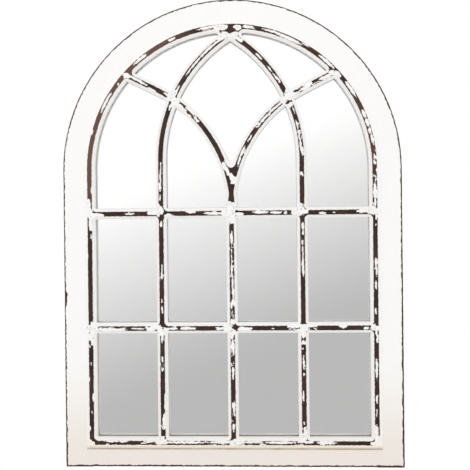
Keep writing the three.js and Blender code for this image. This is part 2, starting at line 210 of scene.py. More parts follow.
middleTurn = math.acos((size["column"] - arches["tallRadius"]) / arches["tallRadius"])
paths = {
    "mullion_left": tallArchPath(quarter),
    "mullion_right": mirrored(tallArchPath(quarter)),
    "mullion_centre": [straight(0, foot, 0, size["upperBar"] + arches["mullionTuck"])],
    "stem": [straight(0, size["upperBar"], 0, size["upperBar"] + arches["stemLength"])],
    "branch_left": mirrored(branchPath()),
    "branch_right": branchPath(),
    "bar_lower": [straight(-radius, size["lowerBar"], radius, size["lowerBar"])],
    "bar_upper": [straight(-radius, size["upperBar"], radius, size["upperBar"])],
    "ring": list(ringPieces.values()),
}
shortArch = tallArchPath(middleTurn)        # the mullions as far as the middle line
ownPaths = dict(paths, mullion_left=shortArch, mullion_right=mirrored(shortArch))
ringLength = runOf(paths["ring"])


def ringOffset(x, z):
    # distance outwards from the middle of the moulding, with square bottom corners
    across = np.where(z < spring, np.abs(x), np.hypot(x, z - spring)) - radius
    return np.maximum(across, foot - z)


# depth into the window bars, counted from the sight edge of the nearest pane

fieldGrid = {"reach": 18.0, "step": 1.0, "lowX": -354.0, "lowZ": 40.0, "columns": 709, "rows": 1025}


def paneDepthGrid():
    # the panes, shrunk by the bar's half width and the corner radius, have as outline what is
    # left of every bar's two offset lines; the depth is the distance to it less that radius
    inset = half + size["sightRound"]
    reach = fieldGrid["reach"]
    low = np.array([fieldGrid["lowX"], fieldGrid["lowZ"]])
    shape = (fieldGrid["columns"], fieldGrid["rows"])
    bars = {name: path for name, path in paths.items() if name != "ring"}
    distance = np.full(shape, reach)
    for name, path in paths.items():
        u = np.arange(0, runOf(path), 0.5)
        x, z, nx, nz = alongPath(path, u)
        for side in ((-1,) if name == "ring" else (-1, 1)):
            px, pz = x + side * inset * nx, z + side * inset * nz
            clear = ringOffset(px, pz) <= 1e-6 - inset
            for other in bars.values():
                clear &= pathCoords(other, px, pz)[0] >= inset - 1e-6
            kept = np.flatnonzero(clear)
            if not len(kept):
                continue
            for stretch in np.split(kept, np.flatnonzero(np.diff(kept) > 1) + 1):
                knots = np.append(stretch[:-1:8], stretch[-1])
                for a, b in zip(knots[:-1], knots[1:]):
                    nearest(distance, low, reach, (px[a], pz[a]), (px[b], pz[b]))
    gx = low[0] + np.arange(shape[0])[:, None]
    gz = low[1] + np.arange(shape[1])[None, :]
    core = ringOffset(gx, gz) <= -inset
    for other in bars.values():
        core &= pathCoords(other, gx + 0 * gz, gz + 0 * gx)[0] >= inset
    return np.where(core, -distance, distance) - size["sightRound"]


def nearest(distance, low, reach, start, stop):
    # lowers a window of the grid to the distance from one short segment
    start, stop = np.array(start), np.array(stop)
    first = np.floor(np.minimum(start, stop) - low - reach).astype(int).clip(0)
    last = np.ceil(np.maximum(start, stop) - low + reach).astype(int) + 1
    window = distance[first[0]:last[0], first[1]:last[1]]
    x = low[0] + first[0] + np.arange(window.shape[0])[:, None]
    z = low[1] + first[1] + np.arange(window.shape[1])[None, :]
    along = stop - start
    share = ((x - start[0]) * along[0] + (z - start[1]) * along[1]) / (along @ along)
    share = np.clip(share, 0, 1)
    found = np.hypot(x - start[0] - share * along[0], z - start[1] - share * along[1])
    np.minimum(window, found, out=window)


paneField = paneDepthGrid()


def paneDepth(x, z):
    # the grid read between its points
    gx = np.clip(x - fieldGrid["lowX"], 0, fieldGrid["columns"] - 1.001)
    gz = np.clip(z - fieldGrid["lowZ"], 0, fieldGrid["rows"] - 1.001)
    i, j = gx.astype(int), gz.astype(int)
    a, b = gx - i, gz - j
    low = paneField[i, j] * (1 - b) + paneField[i, j + 1] * b
    high = paneField[i + 1, j] * (1 - b) + paneField[i + 1, j + 1] * b
    return low * (1 - a) + high * a


print("pane depths ready")


def softMin(a, b, width):
    # the lower of two heights, with the crease between them rounded
    share = np.clip(0.5 + 0.5 * (b - a) / width, 0, 1)
    return b + (a - b) * share - width * share * (1 - share)


def ripple(x, z, seed, length, count=14):
    # a sum of plane waves in random directions, of about the given wavelength, within -1 to 1
    random = np.random.default_rng(seed)
    total = np.zeros(np.broadcast(x, z).shape)
    for angle, stretch, phase in random.uniform((0, 0.6, 0), (math.pi, 1.6, 2 * math.pi), (count, 3)):
        wave = 2 * math.pi / (length * stretch)
        total += np.sin(wave * (x * math.cos(angle) + z * math.sin(angle)) + phase)
    return total / (1.6 * math.sqrt(count))


# where white paint is left on the ridges, in millimetres along each path: the ring runs up the
# left side, over the arch, down the right side and back along the bottom. Each row is from, to,
# and the lowest and highest place across the path, with plus on its left

paintLeft = {
    "ring": [
        (-6, 3, -3, 9), (29, 41, 2, 9), (100, 118, -9, -2.6), (231, 248, -9, -0.6), (243, 260, -9, 9),
        (258, 287, -9, 1.2), (436, 448, 4.2, 8), (486, 493, -4.5, -1.8), (503, 550, -9, 2.2),
        (536, 560, -4, 9), (548, 577, -2, 9), (590, 603, -8, -3.6), (727, 740, 2, 5),
        (784, 837, -2.6, 2.4), (861, 866, -4, 0.6), (887, 898, -12, -0.5), (924, 962, -1.8, 3.4),
        (1024, 1038, -2.8, 2.6), (1098, 1146, -1.4, 3.8), (1136, 1166, -9, 4.6), (1183, 1198, -10, 3.2),
        (1206, 1215, -3.4, 3.6), (1213, 1229, -2.2, 3), (1250, 1300, -1.2, 3), (1284, 1346, -4.4, 2),
        (1348, 1364, 1.8, 4), (1396, 1440, -2.4, 3.6), (1449, 1469, -12, 3), (1484, 1526, -2.4, 3.8),
        (1563, 1581, -3.2, 3.4), (1584, 1601, -2.8, 4), (1606, 1617, -3, 4.4), (1619, 1644, -1, 4.2),
        (1672, 1679, -0.5, 6), (1683, 1691, -2.4, 3.4), (1700, 1712, 3.4, 7), (1736, 1756, -3.2, 2.8),
        (1750, 1768, -4.2, 5), (1766, 1792, -1.6, 1.8), (1790, 1806, -12, 1.2), (1796, 1822, 0.4, 4.2),
        (1831, 1834, 0, 2), (1911, 1930, -1.8, 2.6), (1928, 1951, 0.4, 3.6), (1964, 1982, -2, 2.4),
        (2026, 2039, -3.2, 0.4), (2064, 2079, -12, -1.4), (2074, 2088, -2.6, 2.4), (2088, 2105, -0.4, 4.6),
        (2146, 2192, -2.8, 2.4), (2230, 2250, -2.4, 1.8), (2261, 2277, -1.8, 0.2), (2300, 2344, -6, 2.2),
        (2322, 2358, -6, 7), (2443, 2482, -6, 0.8), (2466, 2478, -2, 3), (2490, 2514, -6, -0.6),
        (2510, 2530, -8, -2), (2534, 2604, -4.6, 0.4), (2612, 2632, -5, -1.4), (2630, 2654, -5, -0.6),
        (2653, 2684, -10, 0.8), (2658, 2676, -2, 3.4), (2680, 2732, -6, -0.6), (2694, 2716, -6, 0.4),
        (2736, 2846, -4.6, 0), (2834, 2864, -10, 2.4), (2864, 2890, -6, -1.6), (2930, 2948, -6, -2),
        (2952, 2980, -6, -2.4), (3007, 3020, -4, 9),
    ],
    "bar_upper": [
        (-2, 32, -9, 2.2), (86, 104, -1.6, 1.8), (138, 160, -3, 6), (150, 173, -1, 9),
        (178, 197, -9, -0.4), (229, 252, 0.6, 9), (271, 318, -3.2, 1.4), (276, 284, 0, 3.4),
        (290, 300, 0, 4), (312, 340, -9, 9), (342, 362, -6, 1.2), (352, 364, -6, -1),
        (387, 420, -1.4, 4.2), (428, 452, -2.4, 3), (460, 466, -3.4, 2.8), (477, 491, -6, 7),
        (497, 516, -2.4, 7), (541, 555, -4.6, 0.6), (573, 577, -1.6, 1), (628, 660, -1, 6),
        (652, 676, -5, 9),
    ],
    "bar_lower": [
        (-4, 14, -9, 9), (12, 84, -6, 0.8), (28, 40, 0, 2), (98, 131, -1.6, 1.4), (132, 152, -6, 3),
        (140, 166, -2, 9), (178, 184, -6, 2), (186, 206, -2.6, 2), (210, 253, -2.8, 2.2),
        (216, 238, 0, 3.6), (297, 316, -3.4, 2.2), (316, 334, -9, 9), (348, 366, -6, 3.6),
        (360, 381, -6, 2), (427, 434, -2, 1), (464, 484, 0.4, 9), (470, 500, 1.8, 9), (484, 512, -9, -1.6),
        (500, 534, 1.6, 9), (584, 594, 2, 8), (590, 601, -0.5, 8), (642, 652, -3, 2), (658, 674, -6, 5),
    ],
    "mullion_left": [
        (6, 18, -3, 5), (34, 70, -9, 0.4), (48, 62, -3, 1.8), (72, 118, -9, -3.4), (172, 182, 0.6, 2.2),
        (189, 206, -1, 1.6), (239, 262, -2.6, 3), (254, 274, -1, 12), (258, 270, -12, 0),
        (388, 398, -1.6, 1.4), (398, 412, -2, 0.4), (414, 422, -2.4, 0), (305, 311, -2.2, 0.4),
        (314, 323, -1.2, 1.2), (330, 338, -0.8, 1), (511, 522, -3, 2.6), (536, 562, 0, 12),
        (540, 556, -6, 3), (573, 582, 0.4, 3), (596, 612, -0.6, 4), (604, 642, -0.8, 2.2),
        (636, 664, -1.8, 0.6), (788, 808, -3, 1.4), (798, 814, -12, -2), (812, 836, -3, 12),
        (828, 850, -1.4, 2.4), (877, 950, -1.6, 2.2), (930, 1000, -1.4, 3.6), (990, 1010, -3, 12),
        (1002, 1038, -15, -1),
    ],
    "mullion_centre": [
        (-4, 8, -9, 9), (30, 46, -2.2, 2), (64, 76, -3.4, -0.8), (76, 98, -4, 0.6), (84, 96, -2, 3.4),
        (151, 166, -2, 2.2), (162, 180, -2.6, 1.6), (182, 186, 2.2, 4), (206, 224, -4, -0.8),
        (218, 238, -3.6, 4.4), (246, 264, -3, 9), (256, 266, -9, 2), (264, 276, 4, 12),
        (278, 292, -5, 4.4), (316, 330, -0.4, 5), (324, 338, -6, 1.4), (340, 366, -4.2, -0.2),
        (360, 392, -3.4, 1), (394, 420, -1.2, 2.6), (414, 442, -0.4, 1.6), (450, 456, -1.2, 2),
        (468, 498, -2.8, 2.4), (478, 490, -1, 4), (516, 560, -9, 9),
    ],
    "mullion_right": [
        (4, 24, -4, 9), (16, 38, -6, 2), (45, 49, -1, 1.6), (98, 121, 0.2, 3), (160, 165, -1.6, 1.6),
        (174, 192, -2, 0.8), (186, 206, 0, 2), (220, 224, 0.6, 3), (232, 239, -6, 6), (248, 268, -6, 6),
        (264, 276, -12, 9), (394, 436, -2.4, 1.8), (426, 470, -1.4, 0.6), (464, 477, -0.6, 2.6),
        (489, 498, -3, 1.4), (502, 517, -3.4, 2.2), (534, 548, 0.6, 12), (540, 554, -6, 1),
        (552, 562, -1, 12), (627, 635, -3.4, 3.4), (674, 694, -4.6, 0), (684, 712, -1.4, 2.6),
        (708, 734, 0, 3), (730, 760, 0, 2.2), (774, 788, -2, -0.6), (792, 802, -4, 9), (812, 832, -12, 4),
        (853, 872, -3, 0.6), (864, 882, -0.8, 2.2), (886, 902, -0.6, 2), (926, 943, -2.2, 2.4),
        (984, 1006, -5, 3), (1002, 1038, 0, 15),
    ],
    "branch_left": [
        (0, 24, -9, 12), (72, 92, -12, -3), (90, 108, -6, 1), (102, 124, -2.4, 4.6), (234, 240, -3, 4),
        (242, 249, -3.4, 2.6), (250, 282, -7, -1.6), (272, 316, -0.4, 7), (300, 322, -7, 4),
        (318, 330, -9, 9), (326, 340, -4, 0.6), (360, 382, 2.6, 7), (384, 396, -1.4, 2),
        (394, 436, -4, 1.2), (428, 446, -4, 5),
    ],
    "branch_right": [
        (0, 26, -9, 12), (70, 87, -7, 6), (112, 136, -2, 1.4), (128, 162, -1.6, 2.8), (176, 194, -1.8, 2),
        (214, 254, 0.4, 2.6), (228, 262, -2.2, 1), (250, 300, -1.6, 1.8), (276, 308, -2.4, 0.4),
        (296, 312, -7, 9), (312, 334, -9, 9), (328, 352, -5, -1), (350, 378, -5, 1.6), (366, 380, -3, 7),
        (402, 432, -5, 2), (388, 396, -4, -2), (426, 438, -2, 7),
    ],
}
specks = {          # stretches with small flecks of paint: from, to, how many
    "ring": [(20, 230, 5), (1110, 1165, 8), (1206, 1230, 6), (1640, 1730, 9), (1736, 1800, 10),
             (1910, 1950, 6), (2440, 2540, 16), (2600, 2730, 20), (2730, 2860, 14), (2860, 3000, 8)],
    "bar_upper": [(88, 104, 3), (140, 175, 6), (272, 318, 12), (630, 671, 5)],
    "bar_lower": [(20, 84, 12), (130, 205, 8), (300, 316, 4), (464, 535, 12)],
    "mullion_left": [(36, 70, 6), (172, 206, 4), (240, 275, 5), (388, 420, 4)],
    "mullion_centre": [(30, 98, 8), (180, 262, 12), (280, 345, 10), (390, 500, 14)],
    "mullion_right": [(10, 40, 6), (176, 206, 4), (248, 275, 6), (395, 476, 5), (534, 562, 7),
                      (676, 756, 10)],
    "branch_left": [(95, 124, 7), (250, 262, 3), (385, 436, 5)],
    "branch_right": [(112, 160, 6), (214, 300, 14), (330, 375, 10), (380, 436, 10)],
}
wander = {"along": 3.0, "across": 0.9, "alongWave": 8.0, "acrossWave": 11.0, "power": 2.4}
rubbing = {             # how far from the sight edge and from the ring's middle the wood is bare
    "depth": 7.0, "ledge": 5.3, "lowLedge": 3.9, "lowBelow": 9.0, "reach": 18.0, "past": 12.0,
}


def allPatches():
    # every patch as path, middle u, middle v, half length, half width and thickness
    random = np.random.default_rng(7)
    patches = []
    for name, rows in paintLeft.items():
        for start, stop, low, high in rows:
            long, wide = (stop - start) / 2 + 1, (high - low) / 2 + 0.3
            thick = np.clip((min(long, wide) - 3.5) / 3, 0, 1)
            patches.append((name, (start + stop) / 2, (low + high) / 2, long, wide, thick))
    for name, rows in specks.items():
        for start, stop, count in rows:
            for _ in range(count):
                u, v = random.uniform(start, stop), random.uniform(-5.0, 5.0)
                long, wide = random.uniform(1.2, 5.0), random.uniform(0.6, 1.7)
                patches.append((name, u, v, long, wide, 0.3))
    return patches


patches = allPatches()


def rubbedField(x, z):
    # bare wood shows where this is above zero: on the flat of the ridges, less the patches
    # of paint, each a superellipse along its path with its outline pushed about by slow
    # waves; the second value is the paint's thickness
    ledge = np.where(z < foot + rubbing["lowBelow"], rubbing["lowLedge"], rubbing["ledge"])
    rubbed = np.minimum(paneDepth(x, z) - rubbing["depth"], ledge - ringOffset(x, z))
    thick = np.zeros_like(rubbed)
    shiftU = wander["along"] * ripple(x, z, 31, wander["alongWave"])
    shiftV = wander["across"] * ripple(x, z, 32, wander["acrossWave"])
    for name in dict.fromkeys(patch[0] for patch in patches):
        dist, u, v = pathCoords(paths[name], x, z)
        near = np.flatnonzero(dist < rubbing["reach"])
        nu, nv = u[near] + shiftU[near], v[near] + shiftV[near]
        for _, middle, across, long, wide, lump in (patch for patch in patches if patch[0] == name):
            du = nu - middle
            if name == "ring":
                du = (du + ringLength / 2) % ringLength - ringLength / 2
            hit = np.flatnonzero(np.abs(du) < long + rubbing["past"])
            far = np.abs([du[hit] / long, (nv[hit] - across) / wide]) ** wander["power"]
            inside = (1 - far.sum(axis=0) ** (1 / wander["power"])) * min(long, wide)
            spot = near[hit]
            rubbed[spot] = np.minimum(rubbed[spot], -inside)
            lift = np.clip(inside / 3, 0, 1)
            thick[spot] = np.maximum(thick[spot], lump * lift * lift * (3 - 2 * lift))
    return rubbed, thick


# meshes

def makeMesh(name, points, faces, flat, layers):
    # points in millimetres; doubled points are merged and empty faces dropped
    keys = np.round(points, 3)
    _, first, spot = np.unique(keys, axis=0, return_index=True, return_inverse=True)
    spot = spot.ravel()
    points = points[first]
    faces = spot[faces]
    same = faces == np.roll(faces, -1, axis=1)
    count = same.sum(axis=1)
    whole = (count == 0) & (faces[:, 0] != faces[:, 2]) & (faces[:, 1] != faces[:, 3])
    groups = [(faces[whole], flat[whole])]
    for k in range(4):
        rows = (count == 1) & same[:, k]
        corners = [c for c in range(4) if c != (k + 1) % 4]
        groups.append((faces[rows][:, corners], flat[rows]))
    volume = 0.0
    for group, _ in groups:
        for k in range(1, group.shape[1] - 1):
            a, b, c = points[group[:, 0]], points[group[:, k]], points[group[:, k + 1]]
            volume += np.einsum("ij,ij->", a, np.cross(b, c))
    if volume < 0:
        groups = [(group[:, ::-1], f) for group, f in groups]
    loops = np.concatenate([group.ravel() for group, _ in groups])
    totals = np.concatenate([np.full(len(group), group.shape[1]) for group, _ in groups])
    starts = np.concatenate([[0], np.cumsum(totals)[:-1]])
    smooth = ~np.concatenate([f for _, f in groups])
    mesh = bpy.data.meshes.new(name)
    mesh.vertices.add(len(points))
    mesh.vertices.foreach_set("co", toRow(points).astype(np.float32).ravel())
    mesh.loops.add(len(loops))
    mesh.loops.foreach_set("vertex_index", loops.astype(np.int32))
    mesh.polygons.add(len(totals))
    mesh.polygons.foreach_set("loop_start", starts.astype(np.int32))
    mesh.polygons.foreach_set("use_smooth", smooth)
    for label, values in layers.items():
        kind = "FLOAT" if values.ndim == 1 else "FLOAT_VECTOR"
        layer = mesh.attributes.new(label, kind, "POINT")
        layer.data.foreach_set("value" if values.ndim == 1 else "vector",
                               values[first].astype(np.float32).ravel())
    mesh.update(calc_edges=True)
    edgeOf = np.zeros(len(loops), np.int32)
    mesh.loops.foreach_get("edge_index", edgeOf)
    sharp = np.zeros(len(mesh.edges), bool)      # keeps the rounding off the flat faces
    sharp[edgeOf[np.repeat(~smooth, totals)]] = True
    mesh.edges.foreach_set("use_edge_sharp", sharp)
    mesh.validate()
    piece = bpy.data.objects.new(name, mesh)
    bpy.context.scene.collection.objects.link(piece)
    return piece


def toRow(points):
    # millimetres above the bottom edge to metres in the row's frame
    return (points + [0, 0, bottomEdge]) / 1000


def shellFaces(stations, lines):
    # faces of a front grid and a back grid of the same counts, joined round their edges
    front = np.arange(stations * lines).reshape(stations, lines)
    back = front + stations * lines
    quads = [
        np.stack([front[:-1, :-1], front[1:, :-1], front[1:, 1:], front[:-1, 1:]], -1),
        np.stack([back[:-1, :-1], back[:-1, 1:], back[1:, 1:], back[1:, :-1]], -1),
        np.stack([front[:-1, 0], back[:-1, 0], back[1:, 0], front[1:, 0]], -1),
        np.stack([front[:-1, -1], front[1:, -1], back[1:, -1], back[:-1, -1]], -1),
        np.stack([front[0, :-1], front[0, 1:], back[0, 1:], back[0, :-1]], -1),
        np.stack([front[-1, :-1], back[-1, :-1], back[-1, 1:], front[-1, 1:]], -1),
    ]
    quads = [quad.reshape(-1, 4) for quad in quads]
    return np.concatenate(quads), len(quads[0])


def shell(name, front, back, frontFlat, frontLayers, backLayers):
    # a closed piece from two grids of points, stations by lines by xyz
    stations, lines = front.shape[:2]
    faces, frontCount = shellFaces(stations, lines)
    flat = np.ones(len(faces), bool)
    flat[:frontCount] = frontFlat.ravel()
    points = np.concatenate([front.reshape(-1, 3), back.reshape(-1, 3)])
    layers = {}
    for label in frontLayers:
        shape = (-1,) if frontLayers[label].ndim == 2 else (-1, 3)
        layers[label] = np.concatenate([frontLayers[label].reshape(shape), backLayers[label].reshape(shape)])
    return makeMesh(name, points, faces, flat, layers)


# window bars and moulding: lines laid side by side along a path, each cut to length where it
# meets a crossing, so that every lap and every scribed end is exact

def webReach(member, u, side):
    # how far past the half width the bar goes on before it comes to glass or to another bar
    extra = np.linspace(0, 34, 137)
    own = half + extra[None, :]
    x, z, nx, nz = (value[:, None] for value in alongPath(member["path"], u))
    px, pz = x + nx * side * own, z + nz * side * own
    room = paneDepth(px, pz) - 0.02
    for name in member["others"]:
        away = np.abs(ringOffset(px, pz)) if name == "ring" else pathCoords(ownPaths[name], px, pz)[0]
        room = np.minimum(room, away - own)
    shut = room <= 0
    hit = np.where(shut.any(axis=1), shut.argmax(axis=1), len(extra) - 1)
    return extra[hit]


def lineSpot(member, u, s):
    # a place on the line that is the share s of the way from the right edge to the left
    left = np.interp(u, member["table"], member["left"])
    right = np.interp(u, member["table"], member["right"])
    seam = member["seam"] if member["seam"] is not None else (left - right) / 2
    v = np.where(s < 0.5, -right + (seam + right) * 2 * s, seam + (left - seam) * (2 * s - 1))
    x, z, nx, nz = alongPath(member["path"], u)
    return x + nx * v, z + nz * v, v


scan = 0.25             # step in which the lines are searched for their crossings


def crossing(member, low, high, gate):
    # on every line, the first u at which the gate opens
    lines = member["lines"]
    u = np.arange(low, high, scan)[:, None] + 0 * lines
    x, z, _ = lineSpot(member, u, lines + 0 * u)
    value = gate(x, z)
    past = value > 0
    hit = np.maximum(past.argmax(axis=0), 1)
    column = np.arange(len(lines))
    before, after = value[hit - 1, column], value[hit, column]
    share = np.clip(before / np.where(before == after, 1, before - after), 0, 1)
    share = np.where(past[0], 0, share)
    return np.where(past.any(axis=0), u[hit - 1, column] + share * scan, high)


def meeting(pathA, pathB, low, high):
    # u on the first path where it comes nearest to the second
    u = np.arange(low, high, 0.5)
    x, z = alongPath(pathA, u)[:2]
    return u[pathCoords(pathB, x, z)[0].argmin()]


overlap = 0.05          # how far a bar runs in under the one that crosses it, to leave no crack


def entering(name):
    return lambda x, z: half - overlap - pathCoords(paths[name], x, z)[0]


def leaving(name):
    return lambda x, z: pathCoords(paths[name], x, z)[0] - half + overlap


def ridgeHeight(x, z):
    # bevel from the sight edge up to the ridge, and the moulding's outer slope down again
    rise = size["rise"]
    inner = paneDepth(x, z) * rise / size["bevelRun"]
    outer = (size["mouldingFoot"] - ringOffset(x, z)) * rise / size["outerRun"]
    return softMin(softMin(inner, rise + 0 * inner, size["crease"]), outer, size["crease"])


def buildBar(name, member, knots, fronts, backs):
    # knots are the cuts along each line; fronts and backs say what lies between them
    lines = member["lines"]
    u, states = [], []
    for k in range(len(knots) - 1):
        long = np.abs(knots[k + 1] - knots[k]).max()
        steps = max(int(math.ceil(long / size["lineStep"])), 1)
        share = np.linspace(0, 1, steps + 1)[:, None]
        u.append(knots[k] + (knots[k + 1] - knots[k]) * share)
        states += [(fronts[k], backs[k])] * (steps + 1)
    u = np.concatenate(u)
    x, z, v = lineSpot(member, u, lines + 0 * u)
    rubbed, thick = (value.reshape(x.shape) for value in rubbedField(x.ravel(), z.ravel()))
    height = ridgeHeight(x, z)
    film = size["film"] * np.clip(-rubbed, 0, 1) + 0.2 * thick + 0.06 * ripple(x, z, 3, 30)
    film *= np.clip(height / 2, 0, 1)
    y = size["bevelFoot"] - height - film
    lowered = np.array([state[0] == "lapped" for state in states])[:, None]
    y = np.where(lowered, size["lapPlane"], y)
    raised = np.array([state[1] == "lapped" for state in states])[:, None] & np.ones(x.shape, bool)
    if member["seam"] is not None:
        # the moulding is cut away only where a bar really lies behind it
        away = np.min([pathCoords(ownPaths[other], x, z)[0] for other in member["others"]], axis=0)
        raised = raised & (away < half + size["lapPlay"])
    yBack = np.where(raised, size["lapPlane"], size["barBack"]) + 0 * x
    eased = size["backEase"] * (1 - np.arange(4) / 3)       # but not where it is lapped
    yBack[:, :4] -= eased * ~raised[:, :4]
    if member["seam"] is None:
        yBack[:, -4:] -= eased[::-1] * ~raised[:, -4:]
    else:
        outside = np.arange(len(lines)) >= len(lines) // 2
        yBack = np.where(outside[None, :], size["boardFace"], yBack)
    front = np.stack([x, y, z], -1)
    back = np.stack([x, yBack, z], -1)
    flat = (lowered[:-1] | lowered[1:]) & np.ones((1, len(lines) - 1), bool)
    grain = np.stack([u, v, np.full(u.shape, member["seed"])], -1)
    bareBack = np.full(x.shape, wear["bare"])
    bareBack[:, [0, 1, 2, -3, -2, -1]] = wear["painted"]
    tone = toneField(x, z)
    frontLayers = {"rubbed": rubbed, "grain": grain, "tone": tone, "thick": thick}
    backLayers = {"rubbed": bareBack, "grain": grain, "tone": 0 * tone, "thick": 0 * thick}
    return shell(name, front, back, flat, frontLayers, backLayers)


reddish = [                  # where the ring's bare wood is lighter: from, fade, to, fade, how much
    (540, 60, 1090, 80, 0.9), (1500, 80, 1745, 60, 0.45),
]


def toneField(x, z):
    # how light and reddish the bare wood is: most so on the ring's left side
    u = pathCoords(paths["ring"], x, z)[1]
    near = np.clip(1 - (np.abs(ringOffset(x, z)) - 7) / 4, 0, 1)
    share = 0
    for start, rise, stop, fall, most in reddish:
        share = share + most * (np.clip((u - start) / rise, 0, 1) * np.clip((stop - u) / fall, 0, 1))
    return near * share


def makeMember(path, others, seed, seam=None, lines=31, left=None, right=None, webs=None):
    table = np.arange(-30, runOf(path) + 60, 0.5)
    member = {"path": path, "others": others, "seed": seed, "seam": seam, "table": table}
    shares = np.linspace(0, 1, lines)
    if seam is not None:
        before, after = np.linspace(0, 0.5, lines // 2), np.linspace(0.5, 1, lines // 2 + 1)
        shares = np.concatenate([before - 1e-9, after])
        shares[0] = 0
    member["lines"] = shares
    member["left"] = np.full(table.shape, half if left is None else left)
    member["right"] = np.full(table.shape, half if right is None else right)
    for side, low, high in webs or []:
        reach = webReach(member, table, side)
        fade = np.clip((table - low) / 4, 0, 1) * np.clip((high - table) / 4, 0, 1)
        member["left" if side > 0 else "right"] += reach * fade
    return member


ringEnd = -0.3          # the bars end just inside the middle of the moulding
ringInner = lambda x, z: ringOffset(x, z) + half - overlap
ringStop = lambda x, z: ringOffset(x, z) - ringEnd


def startKnots(member, low, high):
    # the two cuts where a bar starts, at the middle of the moulding and at its inner edge
    return [crossing(member, low, high, lambda x, z: -gate(x, z)) for gate in (ringStop, ringInner)]


def lapKnots(member, other, u, reach):
    # cuts where a bar comes to another one near u, and where it leaves it
    return [crossing(member, u - reach, u, entering(other)), crossing(member, u, u + reach, leaving(other))]


def buildGrille():
    made = []
    for seed, name in enumerate(("bar_lower", "bar_upper")):
        member = makeMember(paths[name], [], seed)
        run = 2 * radius
        knots = startKnots(member, -5, run / 2)
        for other in ("mullion_left", "mullion_centre", "mullion_right"):
            knots += lapKnots(member, other, meeting(paths[name], paths[other], 0, run), 25)
        knots += [crossing(member, run - 60, run + 5, gate) for gate in (ringInner, ringStop)]
        fronts = ["lapped"] + ["full"] * 7 + ["lapped"]
        backs = ["full", "full"] + ["lapped", "full"] * 3 + ["full"]
        made.append(buildBar(name, member, knots, fronts, backs))

    member = makeMember(paths["mullion_centre"], [], 2)
    top = runOf(paths["mullion_centre"])
    knots = startKnots(member, -5, 100) + lapKnots(member, "bar_lower", size["lowerBar"] - foot, 25)
    knots += [crossing(member, top - 40, top, entering("bar_upper")), 0 * member["lines"] + top]
    made.append(buildBar("mullion_centre", member, knots, ["lapped", "full"] * 2 + ["lapped"], ["full"] * 5))

    for side, way in (("left", 1), ("right", -1)):
        mullion, branch = "mullion_" + side, "branch_" + side
        path = paths[mullion]
        middleRun = runOf(ownPaths[mullion])
        low, high = middleRun - 60, middleRun + 60
        webs = [(way, middleRun - 90, high)]
        member = makeMember(path, [branch, "bar_upper", "ring"], 3 + way, webs=webs)
        knots = startKnots(member, -5, 100)
        for other in ("bar_lower", "bar_upper", branch):
            knots += lapKnots(member, other, meeting(path, paths[other], 0, middleRun), 30)
        for gate in (ringInner, ringStop):         # ends at the ring or at the middle line
            knots.append(crossing(member, low, high, lambda x, z: np.maximum(x * way, gate(x, z))))
        fronts = ["lapped"] + ["full", "lapped"] * 3 + ["full", "lapped"]
        made.append(buildBar(mullion, member, knots, fronts, ["full"] * len(fronts)))

        path = paths[branch]
        webs = [(1, -20, 215), (-1, -20, 215)]
        member = makeMember(path, ["bar_upper", mullion, "ring"], 6 + way, webs=webs)
        clipToHalf(member, way)
        start = size["upperBar"] + half - overlap
        run = meeting(path, paths["ring"], 380, 520)
        knots = [crossing(member, -5, 40, lambda x, z: z - start)]
        knots += lapKnots(member, mullion, meeting(path, paths[mullion], 250, 380), 30)
        knots += [crossing(member, run - 50, run + 20, gate) for gate in (ringInner, ringStop)]
        backs = ["full", "lapped", "full", "full"]
        made.append(buildBar(branch, member, knots, ["full"] * 3 + ["lapped"], backs))
    return made


def clipToHalf(member, way):
    # draws the inner edge of a branch back to the middle line, where the other branch meets it
    x, _, nx, _ = alongPath(member["path"], member["table"])
    slope = np.where(np.abs(nx) < 1e-6, 1e-6, nx)
    toMiddle = -x / slope
    if way < 0:
        member["left"] = np.where(toMiddle < member["left"], toMiddle, member["left"])
    else:
        member["right"] = np.where(-toMiddle < member["right"], -toMiddle, member["right"])


def buildMoulding():
    made = []
    allBars = [name for name in paths if name not in ("ring", "stem")]
    mitre = lambda x, z: (foot - z) - (np.abs(x) - radius)
    mitreBack = lambda x, z: -mitre(x, z)
    for seed, (part, piece) in enumerate(ringPieces.items()):
        run = piece["run"]
        webs = {"arch_left": [(-1, run - 70, run + 60)], "arch_right": [(-1, -60, 70)]}.get(part)
        member = makeMember([piece], allBars, 20 + seed, ringEnd, 36, size["mouldingFoot"], webs=webs)
        start, stop = 0 * member["lines"], 0 * member["lines"] + run
        if part in ("left", "bottom"):
            start = crossing(member, -20, 20, mitreBack if part == "left" else mitre)
        if part in ("right", "bottom"):
            stop = crossing(member, run - 20, run + 20, mitre if part == "right" else mitreBack)
        cuts = []
        for name in allBars:
            zone = lapZone(member, paths[name], run)
            if zone:
                cuts += [np.maximum(zone[0], start), np.minimum(zone[1], stop)]
        knots = [start, *sorted(cuts, key=np.mean), stop]
        backs = ["lapped" if k % 2 else "full" for k in range(len(cuts) + 1)]
        made.append(buildBar("moulding_" + part, member, knots, ["full"] * len(backs), backs))
    return made


def lapZone(member, path, run):
    # from where to where the end of a bar lies behind this length of moulding, if it does
    u = np.arange(0, run, 0.5)
    x, z, nx, nz = alongPath(member["path"], u)
    inside = u[pathCoords(path, x - 6 * nx, z - 6 * nz)[0] < half]
    return (inside[0], inside[-1]) if len(inside) else None


# boards of the frame: a rounded section carried along the outer run, its edge nibbled here and there

